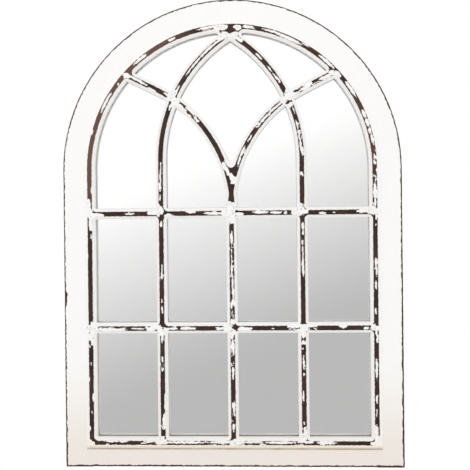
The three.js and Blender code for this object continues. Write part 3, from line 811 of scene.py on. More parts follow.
board = {
    "edgeBand": 2.9,         # how far in from the outer edge a chip's depth is counted
    "bands": (3.3, 3.1, 3.3, 3.9, 4.3, 4.3),      # bare band: up the left, over the arch, down, back
    "arris": 2.0,
    "backArris": 0.8,
    "step": 2.0,
    "footStep": 0.7,         # finer stations in the worn foot of a stile
    "footReach": 9.0,
    "nibble": 0.14,
    "wave": 0.06,
    "smallChips": 240,
}
chips = [                    # along the ring, half length, depth
    (338, 18, 3.6), (350, 9, 5.0), (372, 8, 1.6), (120, 6, 1.5), (214, 5, 1.2), (486, 7, 1.4),
    (610, 4, 1.0), (30, 12, 2.2), (760, 6, 1.3), (930, 5, 1.0), (1080, 7, 1.2), (1290, 5, 1.0),
    (1450, 7, 1.3), (1610, 5, 1.3),
    (1790, 6, 1.2), (1905, 9, 1.5), (2015, 7, 1.4), (2112, 10, 2.2), (2160, 14, 2.6), (2206, 7, 1.8),
    (2248, 16, 2.6), (2300, 12, 2.4), (2338, 14, 2.8), (2402, 10, 2.0), (2470, 6, 1.6), (2545, 12, 2.0),
    (2640, 7, 1.5), (2720, 9, 2.1), (2810, 6, 1.4), (2880, 11, 2.2), (2960, 8, 1.8), (3006, 12, 2.6),
]


def boardChips(u, inward):
    # above zero inside a chip: half ellipses that sit on the outer edge
    random, count = np.random.default_rng(11), board["smallChips"]
    small = np.stack([random.uniform(0, ringLength, count), random.uniform(1.5, 5, count),
                      random.uniform(0.3, 1.3, count)], -1)
    best = np.full(u.shape, -9.0)
    for middle, long, deep in [*chips, *small]:
        du = (u - middle + ringLength / 2) % ringLength - ringLength / 2
        reach = board["edgeBand"] + deep
        best = np.maximum(best, (1 - np.hypot(du / long, inward / reach)) * reach)
    return best


def bareBand(u):
    # width of the bare band along the outer edge, heaviest low on the right and along the bottom
    side, arch = ringPieces["left"]["run"], ringPieces["arch_left"]["run"]
    places = [0, side, side + 2 * arch, 1.5 * side + 2 * arch, 2 * side + 2 * arch, ringLength]
    wide = np.interp(u % ringLength, places, board["bands"])
    return wide + 0.9 * ripple(u, 0 * u, 6, 24) + 0.45 * ripple(u, 0 * u, 7, 8)


def boardSection(width):
    # offsets and depths of the front from the inner edge round to half way down the outer
    # edge, and of the back to the same place
    face, back, arris = size["boardFace"] + size["film"], size["boardBack"], board["arris"]
    middle = (face + back) / 2
    turn = np.linspace(0, quarter, 6)[1:]
    level = np.concatenate([np.linspace(0, width - 7, 15), np.linspace(width - 5.8, width - arris, 5)])
    frontV = np.concatenate([level, width - arris + arris * np.sin(turn), [width, width]])
    frontY = np.concatenate([face + 0 * level, face + arris * (1 - np.cos(turn)), [face + 5, middle]])
    small = board["backArris"]
    level[-1] = width - small
    backV = np.concatenate([level, width - small + small * np.sin(turn), [width, width]])
    backY = np.concatenate([back + 0 * level, back - small * (1 - np.cos(turn)), [back - 4, middle]])
    return frontV, frontY, backV, backY


def buildBoard(name, path, start, stop, width, shift, seed, endCorner=None):
    frontV, frontY, backV, backY = boardSection(width)
    steps = int(math.ceil((stop - start) / board["step"]))
    u = np.linspace(start, stop, steps + 1)
    if endCorner:
        fine = np.arange(board["footStep"], board["footReach"], board["footStep"])
        u = np.sort(np.concatenate([u, start + fine if endCorner[0] == "start" else stop - fine]))
    u = u[:, None]
    grids = []
    for v, y in ((frontV, frontY), (backV, backY)):
        along = u + shift + 0 * v
        inward = width - v + 0 * u
        nibble = board["nibble"] * np.clip(boardChips(along, 0 * along), 0, 3)
        nibble += board["wave"] * (1 + ripple(along, 0 * along, 5, 26))
        nibble *= np.clip(1 - inward / 6, 0, 1)
        px, pz, nx, nz = alongPath(path, u + 0 * v)
        wide = v - nibble
        depth = y + 0 * u + 0.1 * ripple(px + nx * v, pz + nz * v, 4, 90) * (inward > 3)
        point = np.stack([px + nx * wide, depth, pz + nz * wide], -1)
        grids.append((point, along, v + 0 * u, inward))
    front, back = grids
    edge = bareBand(front[1]) - front[3]
    rubbed = np.maximum(edge, boardChips(front[1], front[3]))
    if endCorner:
        # the foot of a stile is worn like the outer edge, counted on round the corner
        end, corner = endCorner
        above = np.abs(u - (start if end == "start" else stop)) + 0 * front[3]
        around = corner + (1 if end == "start" else -1) * front[2]
        low = bareBand(around) - above
        rubbed = np.maximum(rubbed, np.maximum(low, boardChips(around, above)))
    side = np.arange(len(frontV)) >= len(frontV) - 2
    rubbed = np.where(side[None, :], wear["painted"], np.clip(rubbed, -9, 2.5))
    rubbed[:, -3] = wear["edge"]
    under = np.full(back[3].shape, wear["bare"])
    under[:, -1] = wear["painted"]
    under[:, -2] = wear["painted"] / 2
    ones = np.ones(front[1].shape)
    frontLayers = {"rubbed": rubbed, "grain": np.stack([front[1], front[2], seed * ones], -1),
                   "tone": 0.15 * ones, "thick": 0 * ones}
    backLayers = {"rubbed": under, "grain": np.stack([back[1], back[2], (seed + 40) * ones], -1),
                  "tone": 0.4 * ones, "thick": 0 * ones}
    flat = np.zeros((len(u) - 1, len(frontV) - 1), bool)
    return shell(name, front[0], back[0], flat, frontLayers, backLayers)


def buildFrame():
    wide = size["halfWidth"] - radius
    side, arch = ringPieces["left"]["run"], ringPieces["arch_left"]["run"]
    down = side + 2 * arch              # how far along the ring the right side starts
    rows = [
        ("stile_left", "left", -foot, side, wide, 0, ("start", ringLength)),
        ("arch_left", "arch_left", 0, arch, wide, side, None),
        ("arch_right", "arch_right", 0, arch, wide, side + arch, None),
        ("stile_right", "right", 0, side + foot, wide, down, ("stop", down + side)),
        ("rail_bottom", "bottom", 0.1, 2 * radius - 0.1, foot, down + side, None),
    ]
    return [buildBoard(name, [ringPieces[part]], start, stop, width, shift, 50 + k, corner)
            for k, (name, part, start, stop, width, shift, corner) in enumerate(rows)]


# mirror: the glass, and the silver with its backing paint behind it

mirror = {"edgeGap": 1.5, "foot": 0.3, "arris": 0.5, "film": 0.12, "between": 0.03}


def openingOutline(inset):
    # closed outline of the sheet, drawn in by the inset: sides, foot and round head
    rim = radius - mirror["edgeGap"] - inset
    low = foot + mirror["foot"] + inset
    turn = np.linspace(0, math.pi, 181)[:-1]
    rows = np.linspace(0, 1, 60)[:-1, None]
    head = np.stack([rim * np.cos(turn), spring + rim * np.sin(turn)], -1)
    corners = np.array([(-rim, spring), (-rim, low), (rim, low), (rim, spring)])
    sides = [corners[k] + (corners[k + 1] - corners[k]) * rows for k in range(3)]
    return np.concatenate([head, *sides])


def sheet(name, back, front, arris):
    # rings of the outline: in from the middle of the back, over the edge, to the middle of the front
    rings = [(150, back), (40, back), (arris, back), (0, back - arris), (0, front + arris),
             (arris, front), (40, front), (150, front)]
    points = [np.insert(openingOutline(inset), 1, y, axis=1) for inset, y in rings]
    count = len(points[0])
    centre = np.array([0, 0, 560.0])
    grid = np.concatenate(points + [[centre + [0, back, 0]], [centre + [0, front, 0]]])
    index = np.arange(len(rings) * count).reshape(len(rings), count)
    after = np.roll(index, -1, axis=1)
    faces = np.stack([index[:-1], after[:-1], after[1:], index[1:]], -1).reshape(-1, 4)
    pole = len(rings) * count
    first, last = index[0], index[-1]
    backFan = np.stack([0 * first + pole, after[0], first, first], -1)
    frontFan = np.stack([0 * last + pole + 1, last, after[-1], after[-1]], -1)
    faces = np.concatenate([faces, backFan, frontFan])
    return makeMesh(name, grid, faces, np.ones(len(faces), bool), {})


def buildMirror():
    glassBack, glassFront = glassHigh[1], glassLow[1]
    silverFront = glassBack - mirror["film"]
    glass = sheet("mirror_sheet", silverFront - mirror["between"], glassFront, mirror["arris"])
    silver = sheet("mirror_silvering", glassBack, silverFront, mirror["film"] / 4)
    return glass, silver


# hardware on the back: turn buttons, screws, ring hangers and bumpers

screw = {"head": 3.5, "rim": 0.5, "crown": 1.8, "shank": 1.75, "thread": 0.3, "pitch": 1.4, "tip": 1.5,
         "neck": 2.0, "slot": 0.5, "slotReach": 1.7, "slotDeep": 1.0, "slotWall": 0.14, "slotEnd": 0.25,
         "turns": 64}
button = {"reach": 16.0, "radius": 6.0, "hole": 2.05, "edge": 0.3, "steps": 132}
hanger = {"wire": 2.5, "half": 11.25, "side": 6.0, "corner": 3.0, "strapWide": 12.0, "strap": 1.2,
          "strapLong": 46.0, "play": 0.3, "edge": 0.35, "footRound": 4.0}
bumper = {"bevel": 1.6, "hem": 0.4, "dish": 0.35, "turns": 72}


def wrapped(name, grid, closed=False):
    # a closed piece from a grid that wraps round in its columns, and in its rows if closed
    rows, columns = grid.shape[:2]
    index = np.arange(rows * columns).reshape(rows, columns)
    across = np.roll(index, -1, axis=1)
    faces = np.stack([index, np.roll(index, -1, axis=0), np.roll(across, -1, axis=0), across], -1)
    faces = (faces if closed else faces[:-1]).reshape(-1, 4)
    return makeMesh(name, grid.reshape(-1, 3), faces, np.zeros(len(faces), bool), {})


def middleOf(node):
    low, high = nodeBox(node)
    centre = (low + high) / 2
    return centre[0], centre[2] - bottomEdge, low, high


def turnedGrid(x, z, radii, depths, turns):
    # each radius and depth swung round an axis that runs front to back
    angle = np.linspace(0, 2 * math.pi, turns, endpoint=False)
    radii, depths = radii[:, None], depths[:, None] + 0 * angle
    return np.stack([x + radii * np.cos(angle), depths, z + radii * np.sin(angle)], -1), angle


def buildScrew(node, spin):
    # a thread of one raised helix on a tapering shank, and a domed head with a sunk cross
    x, z, low, high = middleOf(node)
    length = high[1] - low[1] - screw["crown"]
    seat = high[1] - screw["crown"]
    down = np.linspace(-length, 0, 60)
    shank = np.minimum(screw["shank"], 0.4 + (down + length) * 0.4)
    dome = np.linspace(0, quarter, 16)[:-1]
    rim = screw["head"] * np.cos(dome) ** 0.8
    crown = screw["rim"] + (screw["crown"] - screw["rim"]) * np.sin(dome)
    inner = np.linspace(rim[-1], 0, 26)[1:]
    flatTop = np.interp(inner, [0, rim[-1]], [screw["crown"], crown[-1]])
    radii = np.concatenate([[0], shank, [screw["head"], screw["head"]], rim, inner])
    depths = np.concatenate([[-length], down, [0, screw["rim"] / 2], crown, flatTop])
    grid, angle = turnedGrid(0, 0, radii, depths, screw["turns"])
    ridge = 0.5 + 0.5 * np.cos(2 * math.pi * depths[:, None] / screw["pitch"] + angle)
    threaded = ((depths > screw["tip"] - length) & (depths < -screw["neck"]))[:, None]
    inset = np.where(threaded, 1 - screw["thread"] * (1 - ridge ** 3) / screw["shank"], 1)
    across, along = grid[..., 0] * inset, grid[..., 2] * inset
    arms = []
    for a, b in ((across, along), (along, across)):
        arms.append(np.clip((screw["slot"] - np.abs(a)) / screw["slotWall"], 0, 1)
                    * np.clip((screw["slotReach"] - np.abs(b)) / screw["slotEnd"], 0, 1))
    top = (depths > screw["rim"])[:, None]
    sunk = np.maximum(*arms) * screw["slotDeep"] * (1 - 0.3 * np.hypot(across, along) / screw["slotReach"])
    depth = grid[..., 1] - np.where(top, sunk, 0)
    turnX = across * math.cos(spin) - along * math.sin(spin)
    turnZ = across * math.sin(spin) + along * math.cos(spin)
    return wrapped("zinc_" + node, np.stack([x + turnX, seat + depth, z + turnZ], -1))


def buildButton(node, screwNode):
    # a flat plate with round ends and a hole: on every ray from the hole's middle, a section
    # with round corners between the hole and the edge
    x, z, low, high = middleOf(node)
    holeX, holeZ = middleOf(screwNode)[:2]
    ahead = np.array([x - holeX, z - holeZ]) / (button["reach"] / 2)
    reach, end, edge = button["reach"], button["radius"], button["edge"]
    bow = math.pi * end
    s = np.linspace(0, 2 * reach + 2 * bow, button["steps"], endpoint=False)
    near, far = (s - 2 * reach - bow) / end + quarter, (s - reach) / end - quarter
    cases = [s < reach, s < reach + bow, s < 2 * reach + bow]
    px = np.select(cases, [s, reach + end * np.cos(far), 2 * reach + bow - s], end * np.cos(near))
    pz = np.select(cases, [-end + 0 * s, end * np.sin(far), end + 0 * s], end * np.sin(near))
    away = np.hypot(px, pz)
    turn = np.linspace(-quarter, quarter, 9)
    flatHalf = (high[1] - low[1]) / 2 - edge
    lift = edge * np.sin(turn) + flatHalf * np.sign(turn)
    outer = away[None, :] - edge + edge * np.cos(turn)[:, None]
    inner = button["hole"] + edge - edge * np.cos(turn[::-1])[:, None] + 0 * away
    rays = np.concatenate([outer, inner])
    depth = (low[1] + high[1]) / 2 + np.concatenate([lift, lift[::-1]])[:, None] + 0 * away
    dirX, dirZ = px / away, pz / away
    along, across = rays * dirX, rays * dirZ
    grid = np.stack([holeX + along * ahead[0] - across * ahead[1], depth,
                     holeZ + along * ahead[1] + across * ahead[0]], -1)
    return wrapped("zinc_" + node, grid, closed=True)


def buildRing(node):
    # round wire along a letter D that lies on its straight side
    x, _, low, high = middleOf(node)
    wire, bow, side, corner = hanger["wire"] / 2, hanger["half"], hanger["side"], hanger["corner"]
    topZ = high[2] - bottomEdge - wire
    turn = np.linspace(quarter, 0, 9)
    swing = np.linspace(0, -math.pi, 57)
    level = np.linspace(corner - bow, bow - corner, 12)[1:-1]
    px = np.concatenate([level, bow - corner + corner * np.cos(turn), bow * np.cos(swing),
                         corner - bow + corner * np.cos(math.pi - turn[::-1])])
    pz = np.concatenate([0 * level, corner * np.sin(turn) - corner, bow * np.sin(swing) - side,
                         corner * np.sin(turn[::-1]) - corner])
    wayX, wayZ = np.roll(px, -1) - np.roll(px, 1), np.roll(pz, -1) - np.roll(pz, 1)
    long = np.hypot(wayX, wayZ)
    outX, outZ = -wayZ / long, wayX / long
    angle = np.linspace(0, 2 * math.pi, 18, endpoint=False)
    across = wire * np.cos(angle)
    depth = (low[1] + high[1]) / 2 + wire * np.sin(angle)
    grid = np.stack([x + px[:, None] + outX[:, None] * across, depth + 0 * px[:, None],
                     topZ + pz[:, None] + outZ[:, None] * across], -1)
    return wrapped("zinc_" + node, grid, closed=True)


def buildStrap(node):
    # a flat strip up the board and round the wire, its section a rectangle with round corners
    x, _, low, _ = middleOf(node)
    thick, play = hanger["strap"], hanger["play"]
    curl = hanger["wire"] / 2 + play + thick / 2
    pivotY, pivotZ = low[1] + curl + thick / 2, low[2] - bottomEdge + hanger["strapLong"]
    up = np.concatenate([np.linspace(0, 5, 12), np.linspace(6.5, hanger["strapLong"], 24)])
    close = math.acos((low[1] + 1.5 * thick - pivotY) / curl)
    turn = np.linspace(math.pi, -close + 0.12, 46)[1:]
    py = np.concatenate([low[1] + thick / 2 + 0 * up, pivotY + curl * np.cos(turn)])
    pz = np.concatenate([pivotZ - hanger["strapLong"] + up, pivotZ + curl * np.sin(turn)])
    outY = np.concatenate([-1 + 0 * up, np.cos(turn)])
    outZ = np.concatenate([0 * up, np.sin(turn)])
    toe = np.clip(1 - np.concatenate([up, 99 + turn]) / hanger["footRound"], 0, 1)
    wide = hanger["strapWide"] / 2 - hanger["footRound"] * (1 - np.sqrt(1 - toe ** 2))
    angle = np.linspace(0, 2 * math.pi, 28, endpoint=False)
    edge = hanger["edge"]
    across = np.cos(angle) * edge + np.sign(np.cos(angle)) * (wide[:, None] - edge)
    proud = np.sin(angle) * edge + np.sign(np.sin(angle)) * (thick / 2 - edge)
    py, pz, outY, outZ = (value[:, None] for value in (py, pz, outY, outZ))
    grid = np.stack([x + across, py + outY * proud, pz + outZ * proud], -1)
    ends = [np.broadcast_to(row.mean(axis=0), row.shape)[None] for row in (grid[0], grid[-1])]
    return wrapped("zinc_" + node, np.concatenate([ends[0], grid, ends[1]]))


def buildBumper(node):
    # a disc with a rounded and slightly dished face towards the wall
    x, z, low, high = middleOf(node)
    rim, bevel = (high[0] - low[0]) / 2, bumper["bevel"]
    turn = np.linspace(0, quarter, 10)
    face = np.linspace(rim - bevel, 0, 12)[1:]
    hem = bumper["hem"]
    radii = np.concatenate([[0, rim - hem, rim, rim], rim - bevel + bevel * np.cos(turn)[1:], face])
    depths = np.concatenate([[low[1], low[1], low[1] + hem, high[1] - bevel - hem],
                             high[1] - bevel + bevel * np.sin(turn)[1:],
                             high[1] - bumper["dish"] * (1 - (face / rim) ** 2)])
    return wrapped("rubber_" + node, turnedGrid(x, z, radii, depths, bumper["turns"])[0])


# materials

def tone(red, green, blue):
    # a screen colour, 0 to 255, as Blender's linear value
    scaled = [value / 255 for value in (red, green, blue)]
    return tuple(v / 12.92 if v <= 0.04045 else ((v + 0.055) / 1.055) ** 2.4 for v in scaled) + (1.0,)


def put(tree, kind, inputs=None, **settings):
    made = tree.nodes.new("ShaderNode" + kind)
    for name, value in settings.items():
        setattr(made, name, value)
    for key, value in (inputs or {}).items():
        if isinstance(value, bpy.types.NodeSocket):
            tree.links.new(value, made.inputs[key])
        else:
            made.inputs[key].default_value = value
    return made


def sums(tree, operation, *values):
    inputs = dict(enumerate(values))
    return put(tree, "Math", inputs, operation=operation).outputs[0]


def blend(tree, share, low, high):
    made = put(tree, "Mix", data_type="RGBA")
    for key, value in (("Factor", share), ("A", low), ("B", high)):
        socket = next(s for s in made.inputs if s.name == key and s.enabled)
        if isinstance(value, bpy.types.NodeSocket):
            tree.links.new(value, socket)
        else:
            socket.default_value = value
    return next(s for s in made.outputs if s.enabled)


def blendValue(tree, share, low, high):
    # the same for numbers: low where the share is 0, high where it is 1
    return sums(tree, "MULTIPLY_ADD", share, sums(tree, "SUBTRACT", high, low), low)


def between(tree, value, low, high, toLow=0.0, toHigh=1.0, smooth=False):
    kind = "SMOOTHSTEP" if smooth else "LINEAR"
    made = put(tree, "MapRange", {"Value": value, "From Min": low, "From Max": high,
                                  "To Min": toLow, "To Max": toHigh}, interpolation_type=kind)
    return made.outputs["Result"]


def speckle(tree, where, scale, detail=2.0, rough=0.5):
    return put(tree, "TexNoise", {"Vector": where, "Scale": scale, "Detail": detail,
                                  "Roughness": rough}).outputs["Fac"]


def newGroup(name, inputs, outputs):
    tree = bpy.data.node_groups.new(name, "ShaderNodeTree")
    for label, kind, value in inputs:
        socket = tree.interface.new_socket(label, in_out="INPUT", socket_type="NodeSocket" + kind)
        if value is not None:
            socket.default_value = value
    for label, kind in outputs:
        tree.interface.new_socket(label, in_out="OUTPUT", socket_type="NodeSocket" + kind)
    return tree, tree.nodes.new("NodeGroupInput").outputs, tree.nodes.new("NodeGroupOutput").inputs


def useGroup(tree, group, inputs):
    made = tree.nodes.new("ShaderNodeGroup")
    made.node_tree = group
    for key, value in inputs.items():
        if isinstance(value, bpy.types.NodeSocket):
            tree.links.new(value, made.inputs[key])
        else:
            made.inputs[key].default_value = value
    return made.outputs


def wornEdgeGroup():
    # breaks the even edge of the bare places up into ragged bites, and gives the brown stain
    # that creeps out of them and the height of the film of paint
    tree, given, out = newGroup("rubbed paint edge", [
        ("Place", "Vector", None), ("Rubbed", "Float", 0.0), ("Bites", "Float", 1.0), ("Grit", "Float", 0.5),
    ], [("Bare", "Float"), ("Stain", "Float"), ("Film", "Float")])
    coarse = sums(tree, "SUBTRACT", speckle(tree, given["Place"], 230.0, 3.0, 0.6), 0.5)
    fine = sums(tree, "SUBTRACT", speckle(tree, given["Place"], 900.0, 2.0), 0.5)
    field = sums(tree, "MULTIPLY_ADD", coarse, given["Bites"], given["Rubbed"])
    field = sums(tree, "MULTIPLY_ADD", fine, given["Grit"], field)
    links = tree.links
    links.new(between(tree, field, -0.1, 0.1), out["Bare"])
    links.new(between(tree, field, -1.3, 0.0, smooth=True), out["Stain"])
    links.new(between(tree, field, -0.6, 0.05, 1.0, 0.0, smooth=True), out["Film"])
    return tree


def grainGroup():
    # long fibres and pores that run along the timber, from the grain coordinates in millimetres
    tree, given, out = newGroup("timber grain", [
        ("Grain", "Vector", None), ("Place", "Vector", None),
    ], [("Fibre", "Float"), ("Cloud", "Float")])
    drawn = put(tree, "VectorMath", {0: given["Grain"], 1: (0.05, 1.1, 7.3)}, operation="MULTIPLY").outputs[0]
    fibre = speckle(tree, drawn, 1.0, 4.0, 0.65)
    tree.links.new(fibre, out["Fibre"])
    tree.links.new(speckle(tree, given["Place"], 28.0, 3.0), out["Cloud"])
    return tree


groups = {"worn": wornEdgeGroup(), "grain": grainGroup()}


def newMaterial(name):
    material = bpy.data.materials.new(name)
    material.use_nodes = True
    tree = material.node_tree
    shader = tree.nodes["Principled BSDF"]
    return material, tree, shader


def finishShader(tree, shader, colour, rough, height, strength, depth):
    # joins the colour, the roughness and a bump of the given height to the shader
    bump = put(tree, "Bump", {"Height": height, "Strength": strength, "Distance": depth}).outputs["Normal"]
    for value, key in ((colour, "Base Color"), (rough, "Roughness"), (bump, "Normal")):
        tree.links.new(value, shader.inputs[key])


def attribute(tree, name, output):
    return put(tree, "Attribute", attribute_name=name).outputs[output]


def objectPlace(tree):
    return put(tree, "TexCoord").outputs["Object"]


# painted shade under the bottom moulding: a darker warm tone on its slope that faces down, and a brown line
# in the crease below it
bottomShade = {
    "height": (bottomEdge + foot - size["mouldingFoot"]) / 1000,      # the bottom moulding's lower edge
    "reach": (radius + size["mouldingFoot"]) / 1000,
    "shadedSlope": tone(243, 226, 202),
    "brown": tone(176, 158, 138),
}


def paintedTimber(name, look):
    # thin chalky white over a dark brown undercoat, worn through where the mesh says
    material, tree, shader = newMaterial(name)
    place = objectPlace(tree)
    grain = attribute(tree, "grain", "Vector")
    warmth = attribute(tree, "tone", "Fac")
    lump = attribute(tree, "thick", "Fac")
    worn = useGroup(tree, groups["worn"], {"Place": place, "Rubbed": attribute(tree, "rubbed", "Fac"),
                                           "Bites": look["bites"], "Grit": look["grit"]})
    wood = useGroup(tree, groups["grain"], {"Grain": grain, "Place": place})

    # undercoat: near black brown with lighter reddish fibres where it is rubbed thin
    mottle = sums(tree, "MULTIPLY_ADD", wood["Cloud"], 0.6, sums(tree, "MULTIPLY", wood["Fibre"], 0.5))
    dark = blend(tree, between(tree, mottle, 0.38, 0.72), look["darkLow"], look["darkHigh"])
    thin = sums(tree, "MULTIPLY", warmth, between(tree, wood["Fibre"], 0.25, 0.6, 0.6, 1.0))
    dark = blend(tree, thin, dark, look["thinWood"])

    # paint: brush marks, faint warm clouds, painted shade that turns it darker and warmer towards the bottom
    # edge, and a brown stain by the worn places
    marks = between(tree, wood["Fibre"], 0.3, 0.75)
    white = blend(tree, marks, look["paint"], look["paintMark"])
    white = blend(tree, between(tree, wood["Cloud"], 0.45, 0.75, 0.0, 0.5), white, look["paintCloud"])
    spot = put(tree, "SeparateXYZ", {"Vector": place}).outputs
    # painted shade: the white is blended towards a darker warm tone over the lowest part of the frame,
    # standing in for less light falling there
    low = between(tree, spot["Z"], -0.52, -0.79, 0.0, look["footShade"], smooth=True)
    white = blend(tree, low, white, look["shadedFootPaint"])

    # painted shade under the bottom moulding: a brown line painted along the crease where it meets the board,
    # and its downward slope painted a darker warm tone
    inside = sums(tree, "LESS_THAN", sums(tree, "ABSOLUTE", spot["X"]), bottomShade["reach"])
    above = sums(tree, "SUBTRACT", spot["Z"], bottomShade["height"])
    slope = between(tree, above, 0.0070, 0.0045, 0.0, 0.8, smooth=True)
    slope = sums(tree, "MULTIPLY", slope, between(tree, above, -0.0008, 0.0))
    white = blend(tree, sums(tree, "MULTIPLY", slope, inside), white, bottomShade["shadedSlope"])
    line = between(tree, sums(tree, "ABSOLUTE", sums(tree, "ADD", above, 0.0021)), 0.0030, 0.0010)
    line = sums(tree, "MULTIPLY", line, between(tree, wood["Cloud"], 0.3, 0.7, 1.0, 0.6))
    white = blend(tree, sums(tree, "MULTIPLY", line, inside), white, bottomShade["brown"])
    stain = sums(tree, "MULTIPLY", worn["Stain"], look["stain"])
    white = blend(tree, stain, white, look["stainColour"])

    # hairline cracks in the thick lumps of paint
    shove = sums(tree, "MULTIPLY", speckle(tree, place, 150.0, 4.0, 0.7), 0.012)
    bent = put(tree, "VectorMath", {0: place, 1: shove}, operation="ADD").outputs[0]
    cells = put(tree, "TexVoronoi", {"Vector": bent, "Scale": 240.0}, feature="DISTANCE_TO_EDGE")
    crack = between(tree, cells.outputs["Distance"], 0.0, 0.06, 1.0, 0.0)
    torn = between(tree, speckle(tree, place, 120.0), 0.5, 0.62)
    crack = sums(tree, "MULTIPLY", sums(tree, "MULTIPLY", crack, torn), between(tree, lump, 0.5, 0.9))
    bare = sums(tree, "MAXIMUM", worn["Bare"], crack)
    colour = blend(tree, bare, white, dark)
    rough = between(tree, wood["Fibre"], 0.3, 0.8, look["paintRough"], look["paintRough"] + 0.14)
    rough = sums(tree, "MULTIPLY_ADD", bare, look["bareRough"], rough)
    film = sums(tree, "SUBTRACT", worn["Film"], crack)
    relief = sums(tree, "MULTIPLY_ADD", wood["Fibre"], look["grainRelief"], film)
    relief = sums(tree, "MULTIPLY_ADD", speckle(tree, place, 420.0, 3.0), look["brushRelief"], relief)
    finishShader(tree, shader, colour, rough, relief, 0.8, 0.00025)
    shader.inputs["Specular IOR Level"].default_value = 0.25
    return material


# the foot colour and its share are painted shade, darkening the white towards the bottom of the frame
windowLook = {
    "bites": 3.0, "grit": 1.6, "darkLow": tone(38, 22, 17), "darkHigh": tone(72, 49, 40),
    "thinWood": tone(112, 82, 72), "paint": tone(253, 252, 251), "paintMark": tone(249, 247, 245),
    "paintCloud": tone(250, 246, 242), "shadedFootPaint": tone(246, 240, 233), "footShade": 0.6, "stain": 0.12,
    "stainColour": tone(150, 112, 92), "paintRough": 0.5, "bareRough": -0.04, "grainRelief": 0.5,
    "brushRelief": 0.5,
}
boardLook = dict(windowLook, bites=2.6, grit=1.5, paint=tone(253, 253, 252), paintMark=tone(250, 249, 248),
                 paintCloud=tone(251, 249, 246), shadedFootPaint=tone(240, 232, 224), footShade=0.95,
                 paintRough=0.52, stain=0.15, grainRelief=0.3, brushRelief=0.3)


def clearGlass():
    # clear, with a breath of dust in the gloss
    material, tree, shader = newMaterial("clear glass")
    dust = speckle(tree, objectPlace(tree), 60.0, 3.0)
    tree.links.new(between(tree, dust, 0.55, 0.9, 0.0, 0.02), shader.inputs["Roughness"])
    tree.links.new(blend(tree, dust, tone(255, 255, 255), tone(253, 253, 253)), shader.inputs["Base Color"])
    shader.inputs["Transmission Weight"].default_value = 1.0
    shader.inputs["IOR"].default_value = 1.5
    return material


def silvering():
    # bright silver towards the glass, grey backing paint towards the wall
    material, tree, shader = newMaterial("silvering")
    place = objectPlace(tree)
    cloud = speckle(tree, place, 40.0, 3.0)
    depth = put(tree, "SeparateXYZ", {"Vector": place}).outputs["Y"]
    back = between(tree, depth, -0.00964, -0.00962)
    silver = blend(tree, cloud, tone(250, 250, 250), tone(252, 252, 251))
    paint = blend(tree, cloud, tone(112, 116, 118), tone(134, 138, 140))
    tree.links.new(blend(tree, back, silver, paint), shader.inputs["Base Color"])
    tree.links.new(sums(tree, "SUBTRACT", 1.0, back), shader.inputs["Metallic"])
    tree.links.new(between(tree, back, 0.0, 1.0, 0.0, 0.55), shader.inputs["Roughness"])
    return material


def hardboard():
    # brown board of pressed fibres
    material, tree, shader = newMaterial("hardboard")
    place = objectPlace(tree)
    fibres = put(tree, "Mapping", {"Vector": place, "Scale": (1.0, 1.0, 0.35)}).outputs[0]
    fine = speckle(tree, fibres, 900.0, 4.0, 0.7)
    cloud = speckle(tree, place, 14.0, 3.0)
    colour = blend(tree, between(tree, fine, 0.3, 0.7), tone(112, 80, 54), tone(150, 112, 78))
    colour = blend(tree, between(tree, cloud, 0.4, 0.7, 0.0, 0.35), colour, tone(96, 68, 46))
    finishShader(tree, shader, colour, between(tree, fine, 0.3, 0.7, 0.62, 0.85), fine, 0.5, 0.0004)
    return material


def zincSteel():
    # faint spangles, duller where it is scuffed
    material, tree, shader = newMaterial("zinc plated steel")
    place = objectPlace(tree)
    spangle = put(tree, "TexVoronoi", {"Vector": place, "Scale": 900.0}).outputs["Color"]
    shade = put(tree, "SeparateXYZ", {"Vector": spangle}).outputs["X"]
    scuff = speckle(tree, place, 700.0, 4.0, 0.7)
    colour = blend(tree, shade, tone(186, 188, 188), tone(203, 204, 202))
    colour = blend(tree, between(tree, scuff, 0.55, 0.8, 0.0, 0.5), colour, tone(150, 146, 138))
    finishShader(tree, shader, colour, between(tree, scuff, 0.3, 0.8, 0.28, 0.5), scuff, 0.25, 0.0001)
    shader.inputs["Metallic"].default_value = 1.0
    return material


def blackRubber():
    # black, greyed by dust
    material, tree, shader = newMaterial("black rubber")
    place = objectPlace(tree)
    pores = speckle(tree, place, 1500.0, 3.0)
    dust = speckle(tree, place, 160.0, 3.0)
    colour = blend(tree, dust, tone(38, 38, 39), tone(62, 61, 60))
    finishShader(tree, shader, colour, between(tree, dust, 0.3, 0.8, 0.6, 0.85), pores, 0.4, 0.0002)
    return material


def bareTimber():
    # pale wood with its fibres along the tenons
    material, tree, shader = newMaterial("bare timber")
    place = objectPlace(tree)
    along = put(tree, "Mapping", {"Vector": place, "Scale": (30.0, 1200.0, 1200.0)}).outputs[0]
    fibre = speckle(tree, along, 1.0, 4.0, 0.6)
    colour = blend(tree, between(tree, fibre, 0.3, 0.7), tone(190, 152, 104), tone(218, 186, 138))
    finishShader(tree, shader, colour, between(tree, fibre, 0.3, 0.7, 0.6, 0.8), fibre, 0.4, 0.0002)
    return material


materials = {
    "window": paintedTimber("rubbed paint on the window bars", windowLook),
    "board": paintedTimber("rubbed paint on the boards", boardLook),
    "glass": clearGlass(),
    "silver": silvering(),
    "hardboard": hardboard(),
    "steel": zincSteel(),
    "rubber": blackRubber(),
    "timber": bareTimber(),
}


# putting the pieces on the frame

def finishPiece(piece, material, slot, body, *nodes):
    piece.data.materials.append(material)
    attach(piece, body)
    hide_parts(*nodes)


for look, pieces in (("window", buildGrille() + buildMoulding()), ("board", buildFrame())):
    for piece in pieces:
        node = piece.name.split(".")[0]
        piece.name = "painted_" + node
        finishPiece(piece, materials[look], "painted_timber", "frame", node)
    print(look, "pieces done:", len(pieces))

glass, silver = buildMirror()
finishPiece(glass, materials["glass"], "mirror", "frame", "mirror_glass")
glass.visible_diffuse = False        # light scattered by the paint passes the clear glass unbroken
finishPiece(silver, materials["silver"], "mirror", "frame", "mirror_glass")
print("mirror done")

